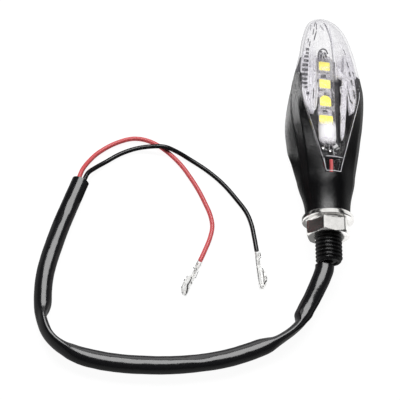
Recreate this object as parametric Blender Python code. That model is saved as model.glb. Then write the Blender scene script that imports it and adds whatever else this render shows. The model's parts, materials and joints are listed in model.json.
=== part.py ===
"""LED turn signal indicator on a hollow M10 stem, lying on its back.

Metres, +Z up. The stem's axis runs along Y, from the cable end at -Y to the lens tip at +Y.
The lens faces +Z. The origin is under the middle of the lamp, on the surface it rests on.
Lengths below are in millimetres until MM turns them into metres.
A station is a distance along the axis from the cable end of the stem.
"""

import math

import bmesh
import bpy
from mathutils import Matrix, Vector

MM = 0.001

# ---- frame ----
LAMP_LENGTH = 105.5
HALF_LENGTH = LAMP_LENGTH / 2
AXIS_HEIGHT = 10.0
GAP = 0.3

# ---- lamp body ----
SHOULDER = 18.3
WALL = 1.6
PARTING_HEIGHT = 2.6
COVER_START = 31.0
WINDOW_START = 32.6
WINDOW_NARROW_HALF = 3.05
WINDOW_FLOOR = 4.6

# One row per station. Half widths and heights from the axis of the lines that run along the body:
# station, band x, band z, rear x, rear z, flat back x, flat back z, border x, border z, crown z
BODY_STATIONS = [
    (34.0, 10.5, 2.4, 11.0, -3.0, 5.0, -9.8, 3.3, 9.4, 9.9),
    (38.0, 11.1, 3.0, 11.6, -3.8, 5.6, -10.0, 4.3, 9.5, 10.3),
    (42.0, 11.7, 3.6, 12.4, -4.3, 6.0, -10.0, 5.4, 9.5, 10.8),
    (46.0, 12.3, 3.9, 13.7, -4.5, 6.4, -10.0, 6.5, 9.5, 11.3),
    (50.0, 12.9, 4.0, 14.2, -4.6, 6.6, -10.0, 7.6, 9.5, 11.8),
    (54.0, 13.6, 4.0, 14.6, -4.6, 6.6, -10.0, 8.7, 9.5, 12.3),
    (58.0, 14.1, 4.0, 14.6, -4.5, 6.6, -10.0, 9.8, 9.5, 12.7),
    (62.0, 14.5, 4.1, 14.3, -4.0, 6.6, -10.0, 10.9, 9.5, 13.0),
    (66.0, 14.6, 4.6, 13.8, -3.2, 6.4, -10.0, 11.7, 9.5, 13.2),
    (70.0, 14.4, 5.1, 13.2, -2.2, 6.2, -10.0, 11.8, 9.3, 13.2),
    (74.0, 13.6, 5.6, 12.4, -1.2, 5.8, -10.0, 11.6, 8.7, 12.9),
    (78.0, 12.7, 5.9, 11.5, -0.2, 5.4, -9.6, 11.4, 7.9, 12.4),
    (82.0, 11.8, 5.7, 10.6, 0.8, 4.8, -8.0, 11.1, 7.4, 11.7),
    (86.0, 10.9, 5.3, 9.6, 1.4, 4.2, -5.8, 10.4, 6.9, 10.8),
    (90.0, 10.2, 4.8, 9.1, 1.5, 3.8, -4.4, 9.5, 6.4, 9.7),
    (94.0, 9.2, 4.2, 8.3, 1.1, 3.4, -3.6, 8.4, 5.7, 8.3),
    (98.0, 7.9, 3.1, 7.1, 0.4, 2.8, -3.0, 7.0, 4.6, 6.6),
    (101.5, 6.3, 1.6, 5.8, -0.3, 2.0, -2.6, 5.3, 3.0, 4.6),
    (104.0, 4.5, 0.3, 4.1, -0.7, 1.2, -2.1, 3.5, 1.4, 2.5),
    (LAMP_LENGTH, 2.3, -0.4, 2.0, -0.9, 0.5, -1.6, 1.6, 0.2, 0.7),
]
BAND_IN = 1.9
BAND_UP = 3.5
SHOULDER_LEAST = 0.15
SHOULDER_OVER_MIDDLE = 0.6
FULL_SECTION_STATION = 42.0
ROUND_SECTION_STATION = 19.5
# Round neck: station, radius
NECK_STATIONS = [
    (SHOULDER, 8.5), (21.0, 8.5), (24.0, 8.65), (27.0, 9.05), (30.0, 9.8), (34.0, 10.8), (42.0, 12.0),
]
NECK_SECTIONS = [SHOULDER, 21.0, 23.5, 26.0, 28.5, 31.0]
# Angles, in degrees, at which the lines along the body sit on the round neck
BACK_ANGLE = -90.0
FLAT_ANGLE = -68.0
REAR_ANGLE = -18.0
BAND_ANGLE = 18.0
SHOULDER_ANGLE = 30.0
SLOPE_ANGLE = 40.0
BORDER_ANGLE = 50.0
CROWN_ANGLE = 90.0
CORNER_STEPS = 5
CROWN_STEPS = 5
INNER_FLAT_LEAST = 0.2
INNER_BORDER_LEAST = 0.4
SLOPE_BULGE = 0.12
# Stations at which the window's edge follows the border of the body
WINDOW_STATIONS = (38.0, 46.0, 54.0, 62.0, 66.0, 70.0, 74.0, 80.0)
# The lower edge of the lens on the side of the lamp: station, height from the axis
LENS_EDGE = [
    (78.0, 7.9), (81.0, 6.9), (84.0, 5.7), (86.5, 4.2), (87.8, 2.2), (88.6, -1.0), (89.4, -14.0),
]
# Reach of the cutting blocks past the body
CUT_SIDE = 25.0
CUT_END = 120.0
CUT_BOTTOM = -14.0
COVER_CUT_END = 100.0
WINDOW_CUT_HEIGHT = 20.0

# ---- stem and nut: M10 x 1.5 ----
THREAD_RADIUS = 5.0
THREAD_PITCH = 1.5
THREAD_DEPTH = 0.8
THREAD_TOP = 17.9
THREAD_CHAMFER = 0.9
THREAD_COLUMNS = 20
# Shares of the pitch: where the rings of the thread lie, half the crest, and one flank
THREAD_MARKS = (0.0, 0.06, 0.4, 0.6, 0.94)
THREAD_CREST = 0.12
THREAD_FLANK = 0.68
STEM_BORE_RADIUS = 2.9
STEM_HEAD_RADIUS = 6.2
STEM_HEAD_START = 20.8
STEM_HEAD_END = 23.2
STEM_CORE_RADIUS = 4.6
STEM_HOLE_COLUMNS = 40
NUT_ACROSS_FLATS = 15.0
NUT_HEIGHT = 8.0
NUT_FLANGE_RADIUS = 9.7
NUT_FLANGE_EDGE = 1.1
NUT_CONE_HEIGHT = 1.5
NUT_CONE_FOOT_IN = 0.75
NUT_CHAMFER_IN = 0.15
NUT_CHAMFER_HEIGHT = 0.75
NUT_BORE_RADIUS = 5.3
NUT_BORE_CHAMFER = 0.6
NUT_TURN = -4.0
NUT_COLUMNS = 48

# ---- board and what it carries ----
BOARD_BOTTOM = -0.6
BOARD_TOP = 0.6
BOARD_START = 43.3
# Right half of the board's outline: x, station
BOARD_PLAN = [(4.8, BOARD_START), (6.0, 55.3), (6.0, 79.0), (3.8, 87.0)]
LED_STATIONS = [82.5, 74.5, 66.5, 58.5]
LED_SIDE = 4.8
LED_HEIGHT = 1.3
LED_BEVEL = 0.25
# Middle of each chip resistor: x, station
RESISTORS = [(-0.2, 78.5), (0.9, 70.5), (-0.2, 62.5)]
RESISTOR_HALF_WIDTH = 1.0
RESISTOR_HALF_LENGTH = 0.65
RESISTOR_HEIGHT = 0.7
CHIP_BEVEL = 0.12
DIODE_PLACE = (3.5, 47.6)
DIODE_TURN = -53.0
DIODE_HALF_WIDTH = 0.6
DIODE_HALF_LENGTH = 1.1
DIODE_HEIGHT = 0.9
SOLDER_JOINTS = [("solder_red", 1.5, 45.6), ("solder_black", -1.2, 46.4)]
# Profile of a solder joint: radius, height
SOLDER_PROFILE = [(1.1, 0.0), (1.0, 0.35), (0.55, 0.75), (0.15, 0.9)]
SOLDER_COLUMNS = 14
BAR_START = 46.5
BAR_END = 86.0
BAR_HALF_WIDTH = 3.4
BAR_BASE = 2.9
BAR_TOP = 5.9
BAR_ROUNDING = 4.0
BAR_RINGS = 14
BAR_COLUMNS = 10
BAR_LEAST_SHARE = 0.12
BAR_LEAST_RISE = 0.25
BAR_FULLNESS = 0.8
STRIP_START = 52.0
STRIP_END = 84.0
STRIP_STEPS = 12
STRIP_INNER_X = 6.3
STRIP_OUTER_X = 9.6
STRIP_BASE = 2.4
STRIP_TOP = 5.4
STRIP_STEP_RISE = 0.9
STRIP_LEAST_WIDTH = 1.2
STRIP_RISE_END = 0.8
STRIP_FALL_END = 0.96
POST_RADIUS = 1.6
POST_BOTTOM = -9.0
POST_STATIONS = [48.0, 76.0]
POST_COLUMNS = 12
LEAD_RADIUS = 0.7
LEAD_SPACING = 2.2
# Leads from under the board's end to the cable end of the bore: x, station, height from the axis
RED_LEAD = [
    (2.0, 42.3, 0.4), (2.0, 39.3, 0.6), (1.6, 35.3, 0.5), (-0.1, 29.0, 0.2), (-1.15, 23.0, 0.0),
    (-1.2, 17.0, 0.0), (-1.2, 8.0, 0.0), (-1.2, GAP, 0.0),
]
BLACK_LEAD = [
    (4.2, 42.3, 0.4), (4.2, 39.3, 0.6), (3.36, 35.3, 0.5), (1.96, 29.0, 0.2), (1.15, 23.0, 0.0),
    (1.2, 17.0, 0.0), (1.2, 8.0, 0.0), (1.2, GAP, 0.0),
]

# ---- cable ----
SLEEVE_RADIUS = 3.2
SLEEVE_SPACING = 5.0
WIRE_RADIUS = 0.85
WIRE_SPACING = 2.6
TERMINAL_LENGTH = 14.0
TERMINAL_WIDTH = 2.4
TERMINAL_SHEET = 0.35
TERMINAL_BOX_START = 7.4
TERMINAL_BOX_TOP = 2.3
TERMINAL_FLOOR_IN = 0.35
TERMINAL_LID_IN = 0.1
# Crimp barrels: start, end, radius
TERMINAL_BARRELS = [(0.0, 2.6, 1.15), (3.4, 6.4, 0.95)]
BARREL_STEPS = 12
BARREL_HALF_OPENING = 15.0

# Free cable, as x, y, z from the origin: it leaves the stem, comes down and lies on the table
SLEEVE_ROUTE = [
    (-1.3, -53.3, 8.2), (-1.5, -55.2, 8.15), (-2.7, -58.6, 7.7), (-4.2, -62.3, 6.8), (-5.7, -65.9, 5.7),
    (-7.2, -69.3, 4.8), (-8.7, -72.8, 4.3), (-10.7, -76.0, 4.0), (-14.4, -79.5, 3.9), (-18.6, -82.4, 3.5),
    (-21.8, -83.9, 3.35), (-29.1, -87.2, 3.3), (-36.6, -90.0, 3.3), (-44.2, -92.0, 3.3), (-52.0, -93.4, 3.3),
    (-60.0, -94.3, 3.3), (-68.0, -94.7, 3.3), (-74.7, -94.7, 3.3), (-81.5, -94.2, 3.3), (-88.2, -93.0, 3.3),
    (-93.5, -91.2, 3.5), (-97.0, -89.6, 3.8), (-99.6, -87.5, 4.0), (-101.4, -85.0, 4.0), (-102.5, -82.1, 3.8),
    (-103.1, -78.8, 3.5), (-103.4, -73.0, 3.3), (-103.3, -65.8, 3.3), (-102.1, -58.0, 3.3),
    (-99.0, -46.0, 3.3), (-96.4, -37.8, 3.3), (-92.4, -25.9, 3.3),
]
RED_ROUTE = [
    (-93.25, -25.2, 3.3), (-91.9, -20.8, 2.8), (-89.3, -16.2, 1.6), (-85.8, -12.0, 0.95), (-80.0, -7.7, 0.9),
    (-73.2, -4.9, 0.9), (-66.7, -5.4, 0.9), (-60.6, -8.6, 0.9), (-54.8, -13.8, 0.9), (-50.7, -19.2, 0.9),
    (-47.6, -24.1, 0.9), (-45.2, -28.8, 0.9), (-43.1, -33.6, 0.9), (-42.2, -38.4, 0.9), (-43.1, -43.3, 0.9),
    (-44.9, -48.3, 0.95), (-46.7, -52.7, 1.15),
]
BLACK_ROUTE = [
    (-91.25, -25.85, 3.3), (-89.9, -22.2, 2.9), (-87.2, -19.2, 1.8), (-83.4, -16.0, 0.95), (-78.0, -12.0, 0.9),
    (-72.3, -9.2, 1.1), (-66.6, -8.1, 2.1), (-61.4, -8.1, 3.05), (-56.6, -9.2, 2.2), (-51.2, -11.4, 1.05),
    (-44.0, -15.7, 0.9), (-38.0, -20.6, 0.9), (-32.6, -26.7, 0.9), (-29.1, -31.4, 0.9), (-27.2, -36.1, 0.9),
    (-26.2, -40.9, 0.9), (-25.5, -45.2, 1.0), (-25.3, -46.8, 1.15),
]
RED_TERMINAL = ((-46.9, -53.2), (-52.4, -66.5))
BLACK_TERMINAL = ((-25.2, -47.3), (-23.4, -61.0))
TERMINAL_FLOOR = 0.1


def place(x, station, height):
    """A point of the lamp, in metres: x, distance from the cable end, height from the axis."""
    return Vector((x * MM, (station - HALF_LENGTH) * MM, (height + AXIS_HEIGHT) * MM))


def on_table(x, y, z):
    """A point of the cable, in metres."""
    return Vector((x * MM, y * MM, z * MM))


def clear_scene():
    for obj in list(bpy.data.objects):
        bpy.data.objects.remove(obj, do_unlink=True)


def material(name, colour, roughness, metallic=0.0, transmission=0.0):
    mat = bpy.data.materials.new(name)
    mat.use_nodes = True
    shader = mat.node_tree.nodes["Principled BSDF"]
    shader.inputs["Base Color"].default_value = (*colour, 1.0)
    shader.inputs["Roughness"].default_value = roughness
    shader.inputs["Metallic"].default_value = metallic
    shader.inputs["Transmission Weight"].default_value = transmission
    return mat


def link(name, data, mat=None):
    obj = bpy.data.objects.new(name, data)
    bpy.context.scene.collection.objects.link(obj)
    if mat is not None:
        data.materials.append(mat)
    return obj


def finish(name, bm, mat=None, smooth=40.0):
    """Turn a bmesh into a named object with outward normals."""
    bmesh.ops.recalc_face_normals(bm, faces=bm.faces)
    mesh = bpy.data.meshes.new(name)
    bm.to_mesh(mesh)
    bm.free()
    mesh.shade_smooth()
    mesh.set_sharp_from_angle(angle=math.radians(smooth))
    return link(name, mesh, mat)


def cutter(name, bm):
    obj = finish(name, bm)
    obj.hide_render = True
    obj.display_type = "WIRE"
    return obj


def boolean(obj, other, operation):
    """An exact Boolean that is applied at once, so that later cuts read its result."""
    mod = obj.modifiers.new(operation.lower(), "BOOLEAN")
    mod.operation = operation
    mod.solver = "EXACT"
    mod.object = other
    depsgraph = bpy.context.evaluated_depsgraph_get()
    evaluated = obj.evaluated_get(depsgraph)
    mesh = bpy.data.meshes.new_from_object(evaluated)
    obj.modifiers.clear()
    old = obj.data
    obj.data = mesh
    bpy.data.meshes.remove(old)


def tidy(obj, distance=0.00002):
    """Weld the slivers that a cut leaves."""
    bm = bmesh.new()
    bm.from_mesh(obj.data)
    bmesh.ops.remove_doubles(bm, verts=bm.verts, dist=distance)
    bmesh.ops.dissolve_degenerate(bm, edges=bm.edges, dist=distance)
    bmesh.ops.triangulate(bm, faces=bm.faces)
    bm.to_mesh(obj.data)
    bm.free()
    obj.data.shade_smooth()
    obj.data.set_sharp_from_angle(angle=math.radians(35.0))


def copy_of(obj, name):
    twin = link(name, obj.data.copy())
    twin.hide_render = True
    twin.display_type = "WIRE"
    return twin


# ---------------------------------------------------------------- shapes


def loft(sections):
    """A closed bmesh through rings of points, with flat ends."""
    bm = bmesh.new()
    rings = [[bm.verts.new(p) for p in ring] for ring in sections]
    count = len(rings[0])
    for a, b in zip(rings, rings[1:]):
        for i in range(count):
            j = (i + 1) % count
            bm.faces.new((a[i], a[j], b[j], b[i]))
    bm.faces.new(rings[0])
    bm.faces.new(rings[-1])
    return bm


def extruded(outline, direction):
    """A prism from a flat outline."""
    return loft([outline, [p + direction for p in outline]])


def block(x0, x1, s0, s1, z0, z1):
    outline = [place(x0, s0, z0), place(x1, s0, z0), place(x1, s0, z1), place(x0, s0, z1)]
    return extruded(outline, Vector((0.0, (s1 - s0) * MM, 0.0)))


def circle_y(radius, station, count, x=0.0, height=0.0):
    """A ring round a line parallel to the axis."""
    ring = []
    for i in range(count):
        angle = 2.0 * math.pi * i / count
        ring.append(place(x + radius * math.cos(angle), station, height + radius * math.sin(angle)))
    return ring


def turned(profile, count):
    """A solid turned round the axis, from (station, radius) pairs in order along it."""
    return loft([circle_y(radius, station, count) for station, radius in profile])


def interpolate(rows, station):
    """Values of a table at a station, read from a smooth curve through its rows."""
    if station <= rows[0][0]:
        return list(rows[0][1:])
    if station >= rows[-1][0]:
        return list(rows[-1][1:])
    k = max(i for i, row in enumerate(rows) if row[0] <= station)
    k = min(k, len(rows) - 2)
    before, a, b, after = rows[max(k - 1, 0)], rows[k], rows[k + 1], rows[min(k + 2, len(rows) - 1)]
    span = b[0] - a[0]
    t = (station - a[0]) / span
    values = []
    for col in range(1, len(a)):
        slope_a = (b[col] - before[col]) / (b[0] - before[0]) * span
        slope_b = (after[col] - a[col]) / (after[0] - a[0]) * span
        h = (2 * t**3 - 3 * t**2 + 1, t**3 - 2 * t**2 + t, -2 * t**3 + 3 * t**2, t**3 - t**2)
        values.append(h[0] * a[col] + h[1] * slope_a + h[2] * b[col] + h[3] * slope_b)
    return values


def smoothstep(t):
    t = min(max(t, 0.0), 1.0)
    return t * t * (3.0 - 2.0 * t)


def half_section(station, inset):
    """The right half of the body's outline at a station, from the back round to the front.

    Each point is x, z and the angle at which it sits on the round neck.
    """
    row = interpolate(BODY_STATIONS, station)
    band_x, band_z, rear_x, rear_z, flat_x, flat_z, border_x, border_z, crown_z = row
    band_x -= inset
    rear_x -= inset
    flat_x -= inset * 0.5
    flat_z += inset
    border_x -= inset * 0.7
    border_z -= inset
    crown_z -= inset
    flat_x = max(flat_x, INNER_FLAT_LEAST)
    border_x = max(border_x, INNER_BORDER_LEAST)
    points = [(0.0, flat_z, BACK_ANGLE), (flat_x, flat_z, FLAT_ANGLE)]
    for i in range(1, CORNER_STEPS + 1):
        t = i / CORNER_STEPS
        turn = t * math.pi / 2
        x = flat_x + (rear_x - flat_x) * math.sin(turn)
        z = rear_z + (flat_z - rear_z) * math.cos(turn)
        points.append((x, z, FLAT_ANGLE + (REAR_ANGLE - FLAT_ANGLE) * t))
    for t in (0.5, 1.0):
        x = rear_x + (band_x - rear_x) * t
        z = rear_z + (band_z - rear_z) * t
        points.append((x, z, REAR_ANGLE + (BAND_ANGLE - REAR_ANGLE) * t))
    shoulder_x = max(band_x - BAND_IN, border_x + SHOULDER_LEAST)
    shoulder_z = min(band_z + BAND_UP, (band_z + border_z) / 2 + SHOULDER_OVER_MIDDLE)
    points.append((shoulder_x, shoulder_z, SHOULDER_ANGLE))
    slope_x = (shoulder_x + border_x) / 2
    slope_z = (shoulder_z + border_z) / 2 + SLOPE_BULGE
    points.append((slope_x, slope_z, SLOPE_ANGLE))
    points.append((border_x, border_z, BORDER_ANGLE))
    for i in range(1, CROWN_STEPS + 1):
        t = i / CROWN_STEPS
        x = border_x * (1.0 - t)
        rise = (crown_z - border_z) * (1.0 - (x / border_x) ** 2)
        points.append((x, border_z + rise, BORDER_ANGLE + (CROWN_ANGLE - BORDER_ANGLE) * t))
    return points


def body_ring(station, inset=0.0):
    """The body's outline at a station: a circle at the neck that turns into the full section."""
    blend = smoothstep((station - ROUND_SECTION_STATION) / (FULL_SECTION_STATION - ROUND_SECTION_STATION))
    radius = interpolate(NECK_STATIONS, station)[0] - inset
    right = []
    for x, z, angle in half_section(station, inset):
        turn = math.radians(angle)
        round_x, round_z = radius * math.cos(turn), radius * math.sin(turn)
        right.append((round_x + (x - round_x) * blend, round_z + (z - round_z) * blend))
    right[0] = (0.0, right[0][1])
    right[-1] = (0.0, right[-1][1])
    left = [(-x, z) for x, z in reversed(right[1:-1])]
    return [place(x, station, z) for x, z in right + left]


def body_loft(start, end, inset):
    stations = [start] + [s for s in body_stations() if start + 0.5 < s < end - 0.5] + [end]
    return loft([body_ring(s, inset) for s in stations])


def body_stations():
    return NECK_SECTIONS + [row[0] for row in BODY_STATIONS]


# ---------------------------------------------------------------- lamp body


def window_outline(grow):
    """The V of the window in plan, from its narrow end to where it meets the tip."""
    right = [(WINDOW_NARROW_HALF + grow, WINDOW_START - grow)]
    for station in WINDOW_STATIONS:
        right.append((interpolate(BODY_STATIONS, station)[6] + grow, station))
    return [place(x, s, 0.0) for x, s in right] + [place(-x, s, 0.0) for x, s in reversed(right)]


def lens_region(name, grow):
    """The space of the lens: a V prism at the front and everything past the slanted edge at the tip."""
    outline = [p + Vector((0.0, 0.0, (WINDOW_FLOOR - grow) * MM)) for p in window_outline(grow)]
    prism = cutter(name, extruded(outline, Vector((0.0, 0.0, WINDOW_CUT_HEIGHT * MM))))
    edge = [(s - grow, z - grow) for s, z in LENS_EDGE]
    side = [(edge[0][0], CUT_SIDE)] + edge + [(CUT_END, CUT_BOTTOM), (CUT_END, CUT_SIDE)]
    tip = [place(-CUT_SIDE, s, z) for s, z in side]
    tip_block = cutter(name + "_tip", extruded(tip, Vector((2 * CUT_SIDE * MM, 0.0, 0.0))))
    boolean(prism, tip_block, "UNION")
    bpy.data.objects.remove(tip_block, do_unlink=True)
    return prism


def make_body(black, clear):
    """Cut one hollow body into the lens, the rear cover and the front shell, with a gap between them."""
    whole = finish("whole_body", body_loft(SHOULDER, LAMP_LENGTH, 0.0))
    hollow = cutter("hollow", body_loft(STEM_HEAD_START - GAP, LAMP_LENGTH - WALL, WALL))
    boolean(whole, hollow, "DIFFERENCE")

    lens_space = lens_region("lens_space", 0.0)
    shell_space = lens_region("shell_space", GAP)
    back = block(-CUT_SIDE, CUT_SIDE, COVER_START, COVER_CUT_END, -CUT_SIDE, PARTING_HEIGHT)
    back_space = cutter("back_space", back)
    back = block(-CUT_SIDE, CUT_SIDE, COVER_START - GAP, COVER_CUT_END, -CUT_SIDE, PARTING_HEIGHT + GAP)
    back_clear = cutter("back_clear", back)

    lens = copy_of(whole, "lens")
    boolean(lens, lens_space, "INTERSECT")
    cover = copy_of(whole, "rear_cover")
    boolean(cover, shell_space, "DIFFERENCE")
    boolean(cover, back_space, "INTERSECT")
    shell = copy_of(whole, "front_shell")
    boolean(shell, shell_space, "DIFFERENCE")
    boolean(shell, back_clear, "DIFFERENCE")
    hole_radius = THREAD_RADIUS + GAP
    hole_profile = [(SHOULDER - 2.0, hole_radius), (STEM_HEAD_START + 1.0, hole_radius)]
    hole = cutter("stem_hole", turned(hole_profile, STEM_HOLE_COLUMNS))
    boolean(shell, hole, "DIFFERENCE")

    for index, station in enumerate(POST_STATIONS):
        post_height = BOARD_BOTTOM - GAP - POST_BOTTOM
        ring = []
        for i in range(POST_COLUMNS):
            angle = 2.0 * math.pi * i / POST_COLUMNS
            x = POST_RADIUS * math.cos(angle)
            ring.append(place(x, station + POST_RADIUS * math.sin(angle), POST_BOTTOM))
        post = cutter("post_%d" % index, extruded(ring, Vector((0.0, 0.0, post_height * MM))))
        boolean(cover, post, "UNION")
        bpy.data.objects.remove(post, do_unlink=True)

    for obj, mat in ((lens, clear), (cover, black), (shell, black)):
        obj.hide_render = False
        obj.display_type = "TEXTURED"
        obj.data.materials.clear()
        obj.data.materials.append(mat)
        tidy(obj)
    for obj in (whole, hollow, lens_space, shell_space, back_space, back_clear, hole):
        bpy.data.objects.remove(obj, do_unlink=True)


# ---------------------------------------------------------------- stem and nut


def thread_radius(turn, station):
    """Radius of the threaded surface at a turn (0 to 1) round it and a station along it."""
    phase = (station / THREAD_PITCH - turn) % 1.0
    ramp = 1.0 - abs(2.0 * phase - 1.0)
    groove = min(max((ramp - THREAD_CREST) / THREAD_FLANK, 0.0), 1.0)
    radius = THREAD_RADIUS - THREAD_DEPTH * groove
    ends = min(station, THREAD_TOP - station)
    return min(radius, THREAD_RADIUS - THREAD_CHAMFER * max(0.0, 1.0 - ends / THREAD_CHAMFER))


def make_stem(mat):
    """A hollow threaded tube with a round head that the shell holds."""
    bm = bmesh.new()
    turns = int(THREAD_TOP / THREAD_PITCH) + 3
    columns = []
    for j in range(THREAD_COLUMNS + 1):
        turn = j / THREAD_COLUMNS
        angle = 2.0 * math.pi * turn
        column = []
        for k in range(-1, turns):
            for mark in THREAD_MARKS:
                station = min(max((k + mark + turn) * THREAD_PITCH, 0.0), THREAD_TOP)
                radius = thread_radius(turn, station)
                point = place(radius * math.cos(angle), station, radius * math.sin(angle))
                column.append(bm.verts.new(point))
        columns.append(column)
    for a, b in zip(columns, columns[1:]):
        for i in range(len(a) - 1):
            bm.faces.new((a[i], b[i], b[i + 1], a[i + 1]))
    bmesh.ops.remove_doubles(bm, verts=bm.verts, dist=0.000004)
    bmesh.ops.dissolve_degenerate(bm, edges=bm.edges, dist=0.000004)
    bmesh.ops.holes_fill(bm, edges=[e for e in bm.edges if e.is_boundary])
    bmesh.ops.triangulate(bm, faces=bm.faces)
    stem = finish("threaded_stem", bm, mat)
    collar = cutter("collar", turned([
        (THREAD_TOP - 1.0, STEM_CORE_RADIUS), (STEM_HEAD_START, STEM_CORE_RADIUS),
        (STEM_HEAD_START + 0.01, STEM_HEAD_RADIUS), (STEM_HEAD_END, STEM_HEAD_RADIUS),
    ], 36))
    boolean(stem, collar, "UNION")
    bore = cutter("bore", turned([(-2.0, STEM_BORE_RADIUS), (STEM_HEAD_END + 2.0, STEM_BORE_RADIUS)], 28))
    boolean(stem, bore, "DIFFERENCE")
    for obj in (collar, bore):
        bpy.data.objects.remove(obj, do_unlink=True)
    tidy(stem, 0.000006)


def hexagon(station, across):
    corner = across / math.sqrt(3.0)
    ring = []
    for i in range(6):
        angle = math.radians(60.0 * i + NUT_TURN)
        ring.append(place(corner * math.cos(angle), station, corner * math.sin(angle)))
    return ring


def make_nut(mat):
    """A hex flange nut against the shoulder: flat flange, cone, hexagon with a turned chamfer."""
    top = SHOULDER - GAP
    low = top - NUT_HEIGHT
    corner = NUT_ACROSS_FLATS / math.sqrt(3.0)
    prism = loft([hexagon(low, NUT_ACROSS_FLATS), hexagon(top - 0.5, NUT_ACROSS_FLATS)])
    nut = finish("flange_nut", prism, mat)
    chamfer = cutter("chamfer", turned([
        (low - 0.01, NUT_ACROSS_FLATS / 2 - NUT_CHAMFER_IN),
        (low + NUT_CHAMFER_HEIGHT, corner + 0.05),
        (top, corner + 0.05),
    ], NUT_COLUMNS))
    boolean(nut, chamfer, "INTERSECT")
    flange = cutter("flange", turned([
        (top - NUT_FLANGE_EDGE - NUT_CONE_HEIGHT, corner - NUT_CONE_FOOT_IN),
        (top - NUT_FLANGE_EDGE, NUT_FLANGE_RADIUS - 0.25),
        (top - NUT_FLANGE_EDGE + 0.25, NUT_FLANGE_RADIUS),
        (top - 0.2, NUT_FLANGE_RADIUS),
        (top, NUT_FLANGE_RADIUS - 0.2),
    ], NUT_COLUMNS))
    boolean(nut, flange, "UNION")
    bore = cutter("nut_bore", turned([
        (low - 1.0, NUT_BORE_RADIUS + NUT_BORE_CHAMFER + 1.0),
        (low + NUT_BORE_CHAMFER, NUT_BORE_RADIUS),
        (top - 0.5, NUT_BORE_RADIUS),
        (top + 1.0, NUT_BORE_RADIUS + 1.5),
    ], STEM_HOLE_COLUMNS))
    boolean(nut, bore, "DIFFERENCE")
    for obj in (chamfer, flange, bore):
        bpy.data.objects.remove(obj, do_unlink=True)
    tidy(nut)
    pivot = place(0.0, top, 0.0)
    nut.data.transform(Matrix.Translation(-pivot))
    nut.location = pivot


# ---------------------------------------------------------------- inside


def bevelled(name, bm, mat, width, segments=1):
    """A piece with its sharp edges rounded."""
    obj = finish(name, bm, mat)
    mod = obj.modifiers.new("edges", "BEVEL")
    mod.width = width * MM
    mod.segments = segments
    mod.limit_method = "ANGLE"
    return obj


def make_board(mats):
    """The circuit board with its LEDs, chips and solder joints."""
    outline = [place(x, station, BOARD_BOTTOM) for x, station in BOARD_PLAN]
    outline += [place(-x, station, BOARD_BOTTOM) for x, station in reversed(BOARD_PLAN)]
    thickness = (BOARD_TOP - BOARD_BOTTOM) * MM
    finish("circuit_board", extruded(outline, Vector((0.0, 0.0, thickness))), mats["board"])

    floor = BOARD_TOP + GAP
    for number, station in enumerate(LED_STATIONS, 1):
        half = LED_SIDE / 2
        led = block(-half, half, station - half, station + half, floor, floor + LED_HEIGHT)
        bevelled("led_%d" % number, led, mats["led"], LED_BEVEL, 2)

    for number, (x, station) in enumerate(RESISTORS, 1):
        low_x, high_x = x - RESISTOR_HALF_WIDTH, x + RESISTOR_HALF_WIDTH
        low, high = station - RESISTOR_HALF_LENGTH, station + RESISTOR_HALF_LENGTH
        chip = block(low_x, high_x, low, high, floor, floor + RESISTOR_HEIGHT)
        bevelled("resistor_%d" % number, chip, mats["chip"], CHIP_BEVEL)
    half, reach = DIODE_HALF_WIDTH, DIODE_HALF_LENGTH
    body = block(-half, half, -reach, reach, 0.0, DIODE_HEIGHT)
    diode = bevelled("diode", body, mats["chip"], CHIP_BEVEL)
    centre = place(0.0, 0.0, 0.0)
    diode.data.transform(Matrix.Translation(-centre))
    diode.location = place(*DIODE_PLACE, floor)
    diode.rotation_euler = (0.0, 0.0, math.radians(DIODE_TURN))

    for name, x, station in SOLDER_JOINTS:
        rings = []
        for radius, height in SOLDER_PROFILE:
            ring = []
            for i in range(SOLDER_COLUMNS):
                angle = 2.0 * math.pi * i / SOLDER_COLUMNS
                across, along = radius * math.cos(angle), radius * math.sin(angle)
                ring.append(place(x + across, station + along, floor + height))
            rings.append(ring)
        finish(name, loft(rings), mats["solder"])


def make_optic_bar(mat):
    """A clear half-round bar in front of the LEDs, with rounded ends."""
    rings = []
    length = BAR_END - BAR_START
    for i in range(BAR_RINGS + 1):
        end_share = 0.5 - 0.5 * math.cos(math.pi * i / BAR_RINGS)
        station = BAR_START + length * end_share
        reach = min(station - BAR_START, BAR_END - station)
        inward = 1.0 - min(reach / BAR_ROUNDING, 1.0)
        share = math.sqrt(max(1.0 - inward ** 2, 0.0)) * (1.0 - BAR_LEAST_SHARE) + BAR_LEAST_SHARE
        rise = (BAR_TOP - BAR_BASE) * (BAR_LEAST_RISE + (1.0 - BAR_LEAST_RISE) * share)
        ring = []
        for k in range(BAR_COLUMNS + 1):
            turn = math.pi * k / BAR_COLUMNS
            x = BAR_HALF_WIDTH * share * math.cos(turn)
            ring.append(place(x, station, BAR_BASE + rise * max(math.sin(turn), 0.0) ** BAR_FULLNESS))
        rings.append(ring)
    finish("optic_bar", loft(rings), mat)


def make_prism_strip(name, side, mat):
    """A strip with a stepped front beside the optic bar; its outline follows the window."""
    step = (STRIP_END - STRIP_START) / STRIP_STEPS
    low = STRIP_TOP - STRIP_STEP_RISE
    profile = []
    for i in range(STRIP_STEPS):
        start = STRIP_START + step * i
        profile.append((start, low))
        profile.append((start + step * STRIP_RISE_END, STRIP_TOP))
        profile.append((start + step * STRIP_FALL_END, low))
    profile.append((STRIP_END, low))
    rings = []
    for station, top in profile:
        room = interpolate(BODY_STATIONS, station)[6] - WALL - 2.0 * GAP
        outer = min(STRIP_OUTER_X, room)
        inner = min(STRIP_INNER_X, outer - STRIP_LEAST_WIDTH)
        corners = [(inner, STRIP_BASE), (outer, STRIP_BASE), (outer, top), (inner, top)]
        rings.append([place(side * x, station, z) for x, z in corners])
    finish(name, loft(rings), mat)


# ---------------------------------------------------------------- leads and cable


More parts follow.
